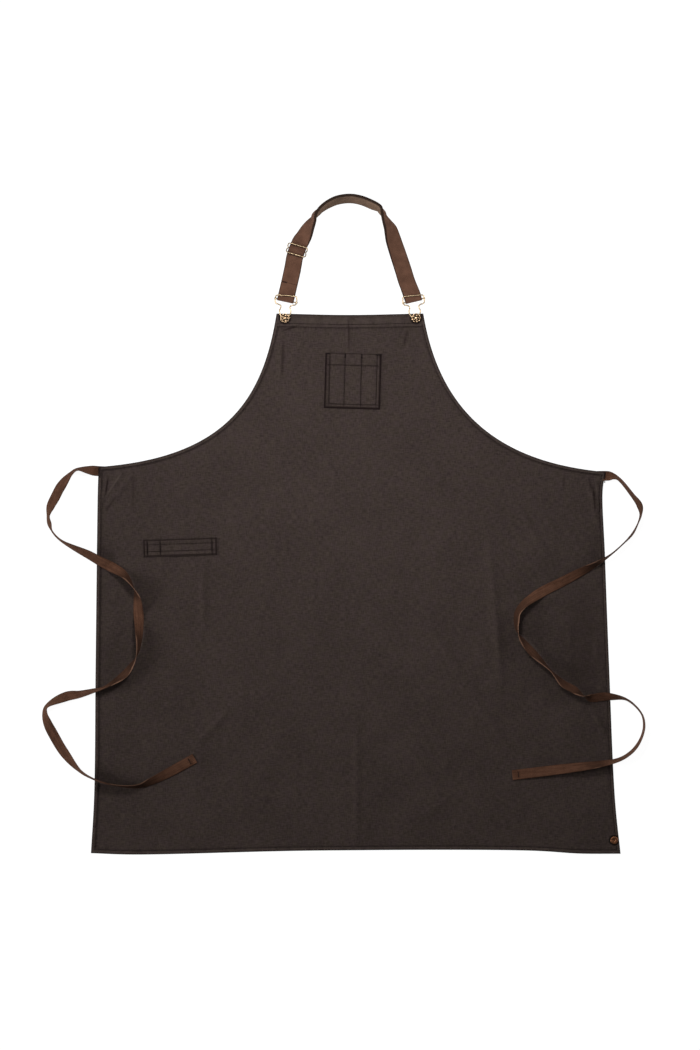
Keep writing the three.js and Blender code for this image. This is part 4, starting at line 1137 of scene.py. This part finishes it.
def brass_material(name, bright, dull):
    """Antique brass, mottled from bright to dull and nearly black where its recess mark is 1."""
    material, shader, field = new_material(name)
    place = field.on_object()
    patina = place.noise(300.0, 3.0).rise(0.40, 0.75)
    scratch = place.stretch((1, 6, 1)).noise(2500.0)
    field.feed(shader, {
        "Base Color": field.mark("recess").mix(patina.mix(bright, dull), (0.012, 0.006, 0.003, 1)),
        "Metallic": 1.0,
        "Roughness": 0.24 + scratch * 0.2,
        "Normal": scratch.bump(0.12, 0.0001),
    })
    return material


def tube(line, radius, closed):
    """Points and faces of round wire along a line."""
    SIDES = 12
    ahead = unit(np.roll(line, -1, 0) - np.roll(line, 1, 0)) if closed else unit(np.gradient(line, axis=0))
    across = unit(np.cross(ahead, (0, 0, 1)))
    up = np.cross(across, ahead)
    turn = np.linspace(0, 2 * math.pi, SIDES, endpoint=False)[None, :, None]
    ring = line[:, None] + radius * (across[:, None] * np.cos(turn) + up[:, None] * np.sin(turn))
    faces = ring_faces(len(line), SIDES, closed)
    if not closed:
        faces += [tuple(range(SIDES)), tuple(range((len(line) - 1) * SIDES, len(line) * SIDES))]
    return ring.reshape(-1, 3), faces


def joined(pieces):
    """One list of points and faces from several."""
    points, faces = [], []
    for some_points, some_faces in pieces:
        start = sum(len(part) for part in points)
        points.append(some_points)
        faces += [tuple(corner + start for corner in face) for face in some_faces]
    return np.vstack(points), faces


def ring_line(half, steps):
    """A closed line of wire, mirrored from its right half."""
    left = [(-x, y, z) for x, y, z in reversed(half) if x > 0]
    return spline([*half, *left], steps, closed=True)


def placed(points, at, turn):
    """Points of a piece turned about the vertical and moved to where it lies."""
    x, y, z = points.T
    return np.column_stack([*on_panel(x, y, at, turn), z])


def add_metal(name, points, faces, material, node, marks=None):
    made = add_object(name, make_mesh(name, points, faces, material, marks=marks))
    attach(made, "root")
    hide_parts(node)


BRASS = brass_material("light_brass_wire", (0.33, 0.25, 0.155, 1), (0.19, 0.13, 0.075, 1))
slider_ends = [(-SLIDER_WAIST, 0, SLIDER_BAR_HEIGHT), (SLIDER_WAIST, 0, SLIDER_BAR_HEIGHT)]
slider_bar = spline(slider_ends, SLIDER_BAR_STEPS)
slider_points, slider_faces = joined([
    tube(ring_line(SLIDER_HALF, SLIDER_STEPS), SLIDER_WIRE, True), tube(slider_bar, SLIDER_WIRE, False)])
add_metal("wire_slider", placed(slider_points, SLIDER_AT, SLIDER_TURN), slider_faces, BRASS,
          "strap_slider")


# Dungaree buckles. Each is one brass wire bent to a top bar, two shoulders and a narrow loop that
# hooks round the tack button. A slide bar with rolled eyes runs on its side wires and holds the strap.
WIRE, FRAME_HEIGHT, BUCKLE_TIP = 0.0011, 0.0049, -0.0044
BAR_LENGTH, EYE_OUT, EYE_BORE, EYE_RIM, EYE_LENGTH = 0.0354, 0.0188, 0.0017, 0.0024, 0.0028
FRAME_STEPS, BAR_STEPS, EYE_STEPS, EYE_SIDES = 8, 12, 16, 20
BUCKLE_HALF = [
    (0.0075, 0.0405), (0.0146, 0.0405), (0.0182, 0.039), (0.0189, 0.036), (0.0189, 0.0282), (0.0168, 0.0252),
    (0.0118, 0.024), (0.0084, 0.0216), (0.0082, 0.0186), (0.0096, 0.015), (0.0102, 0.0115), (0.0082, 0.0063),
    (0.0058, 0.001), (0.0038, -0.003), (0, BUCKLE_TIP),
]


def turned(profile, sides):
    """A shape turned about the vertical, from a profile of radius and height that starts and ends on it."""
    profile = np.array(profile, float)
    turn = np.linspace(0, 2 * math.pi, sides, endpoint=False)
    points = [np.column_stack([r * np.cos(turn), r * np.sin(turn), np.full(sides, z)]) for r, z in profile]
    return np.vstack(points), ring_faces(len(profile), sides)


def rolled_eye(out):
    """A short rolled tube round a side wire, with rounded rims."""
    turn = np.linspace(0, 2 * math.pi, EYE_STEPS)
    middle, wall = (EYE_BORE + EYE_RIM) / 2, (EYE_RIM - EYE_BORE) / 2
    section = [(middle + wall * math.cos(t), EYE_LENGTH / 2 * math.sin(t)) for t in turn]
    points, faces = turned(section, EYE_SIDES)
    return np.column_stack([points[:, 0] + out, points[:, 2], points[:, 1] + FRAME_HEIGHT]), faces


for side, seat in BUCKLE_SEATS.items():
    half = [(x, y, FRAME_HEIGHT) for x, y in BUCKLE_HALF]
    points, faces = tube(ring_line(half, FRAME_STEPS), WIRE, True)
    add_metal(side + "_wire_buckle", placed(points, seat, FRAME_LEAN[side]), faces, BRASS,
              side + "_buckle_frame")
    rod = spline([(-BAR_LENGTH / 2, 0, BAR_HEIGHT), (BAR_LENGTH / 2, 0, BAR_HEIGHT)], BAR_STEPS)
    points, faces = joined([tube(rod, BAR_RADIUS, False), rolled_eye(-EYE_OUT), rolled_eye(EYE_OUT)])
    add_metal(side + "_slide_bar", placed(points, slide_bar(side)[0], BAR_LEAN[side]), faces, BRASS,
              side + "_buckle_bar")


# Tack buttons. Cast caps of coppery brass on a shank that is riveted through the bib's corner to a back
# plate. The rim is scalloped, and a plain relief of petals round a boss holds dark patina.
BUTTON_PROFILE = [
    (0, 0), (0.0047, 0), (0.0052, 0.0002), (0.0054, 0.0005), (0.0050, 0.0010), (0.0026, 0.0011),
    (0.0026, 0.0063), (0.0074, 0.0063), (0.0080, 0.0065), (0.0084, 0.0070), (0.0084, 0.0076),
    (0.0081, 0.0081), (0.0075, 0.0084), (0.0069, 0.0083), (0.0064, 0.0079), (0.0060, 0.0078),
    (0.0055, 0.0081), (0.0048, 0.0085), (0.0040, 0.0086), (0.0033, 0.0083), (0.0028, 0.0080),
    (0.0024, 0.0081), (0.0020, 0.0086), (0.0013, 0.0090), (0, 0.0091),
]
CAP_FROM, RIM_FROM, PETALS_FROM = 0.0065, 0.0066, 0.0028
SCALLOPS, SCALLOP_DEPTH = 9, 0.0009
PETALS, PETAL_DEPTH = 5, 0.0008
GROOVES = [(0.0060, 0.0012), (0.0028, 0.0010)]
BUTTON_SIDES = 112
BUTTON_BRASS = brass_material("coppery_brass", (0.76, 0.53, 0.33, 1), (0.40, 0.235, 0.12, 1))

for side, button in (("left", LEFT_BUTTON), ("right", RIGHT_BUTTON)):
    points, faces = turned(BUTTON_PROFILE, BUTTON_SIDES)
    radius, angle = np.hypot(points[:, 0], points[:, 1]), np.arctan2(points[:, 1], points[:, 0])
    on_cap = points[:, 2] > CAP_FROM
    scallop = (0.5 - 0.5 * np.cos(SCALLOPS * angle)) * (radius > RIM_FROM) * on_cap
    petal = (0.5 - 0.5 * np.cos(PETALS * angle)) * (radius > PETALS_FROM) * (radius < RIM_FROM) * on_cap
    points[:, :2] *= (1 - SCALLOP_DEPTH * scallop / np.maximum(radius, RIM_FROM))[:, None]
    points[:, 2] -= PETAL_DEPTH * petal
    grooves = np.maximum(*(near(radius, (at,), width) for at, width in GROOVES)) * on_cap
    recess = np.clip(grooves + petal + 0.8 * scallop, 0, 1)
    add_metal(side + "_tack_button", placed(points, button, 0), faces, BUTTON_BRASS, side + "_button",
              {"recess": recess})


# Corner rivet. A darkened copper cap at the lower right corner, dished round a small hollow middle.
# It is pressed on a shank through the turned hems, with a back plate under them.
RIVET_PROFILE = [
    (0, 0), (0.0042, 0), (0.0046, 0.0002), (0.0047, 0.0004), (0.0044, 0.0009), (0.0020, 0.0010),
    (0.0020, 0.0037), (0.0060, 0.0037), (0.0066, 0.0039), (0.0068, 0.0042), (0.0066, 0.0047),
    (0.0060, 0.0051), (0.0050, 0.0054), (0.0040, 0.0055), (0.0032, 0.0053), (0.0026, 0.0047),
    (0.0022, 0.0042), (0.0012, 0.0040), (0, 0.0040),
]


def copper_material():
    material, shader, field = new_material("darkened_copper")
    patina = field.on_object().noise(300.0, 3.0).rise(0.35, 0.7)
    field.feed(shader, {
        "Base Color": patina.mix((0.21, 0.088, 0.042, 1), (0.08, 0.032, 0.016, 1)),
        "Metallic": 0.9,
        "Roughness": 0.38 + patina * 0.2,
    })
    return material


RIVET_SIDES = 64
points, faces = turned(RIVET_PROFILE, RIVET_SIDES)
add_metal("copper_rivet", placed(points, CORNER_RIVET, 0), faces, copper_material(), "corner_rivet")
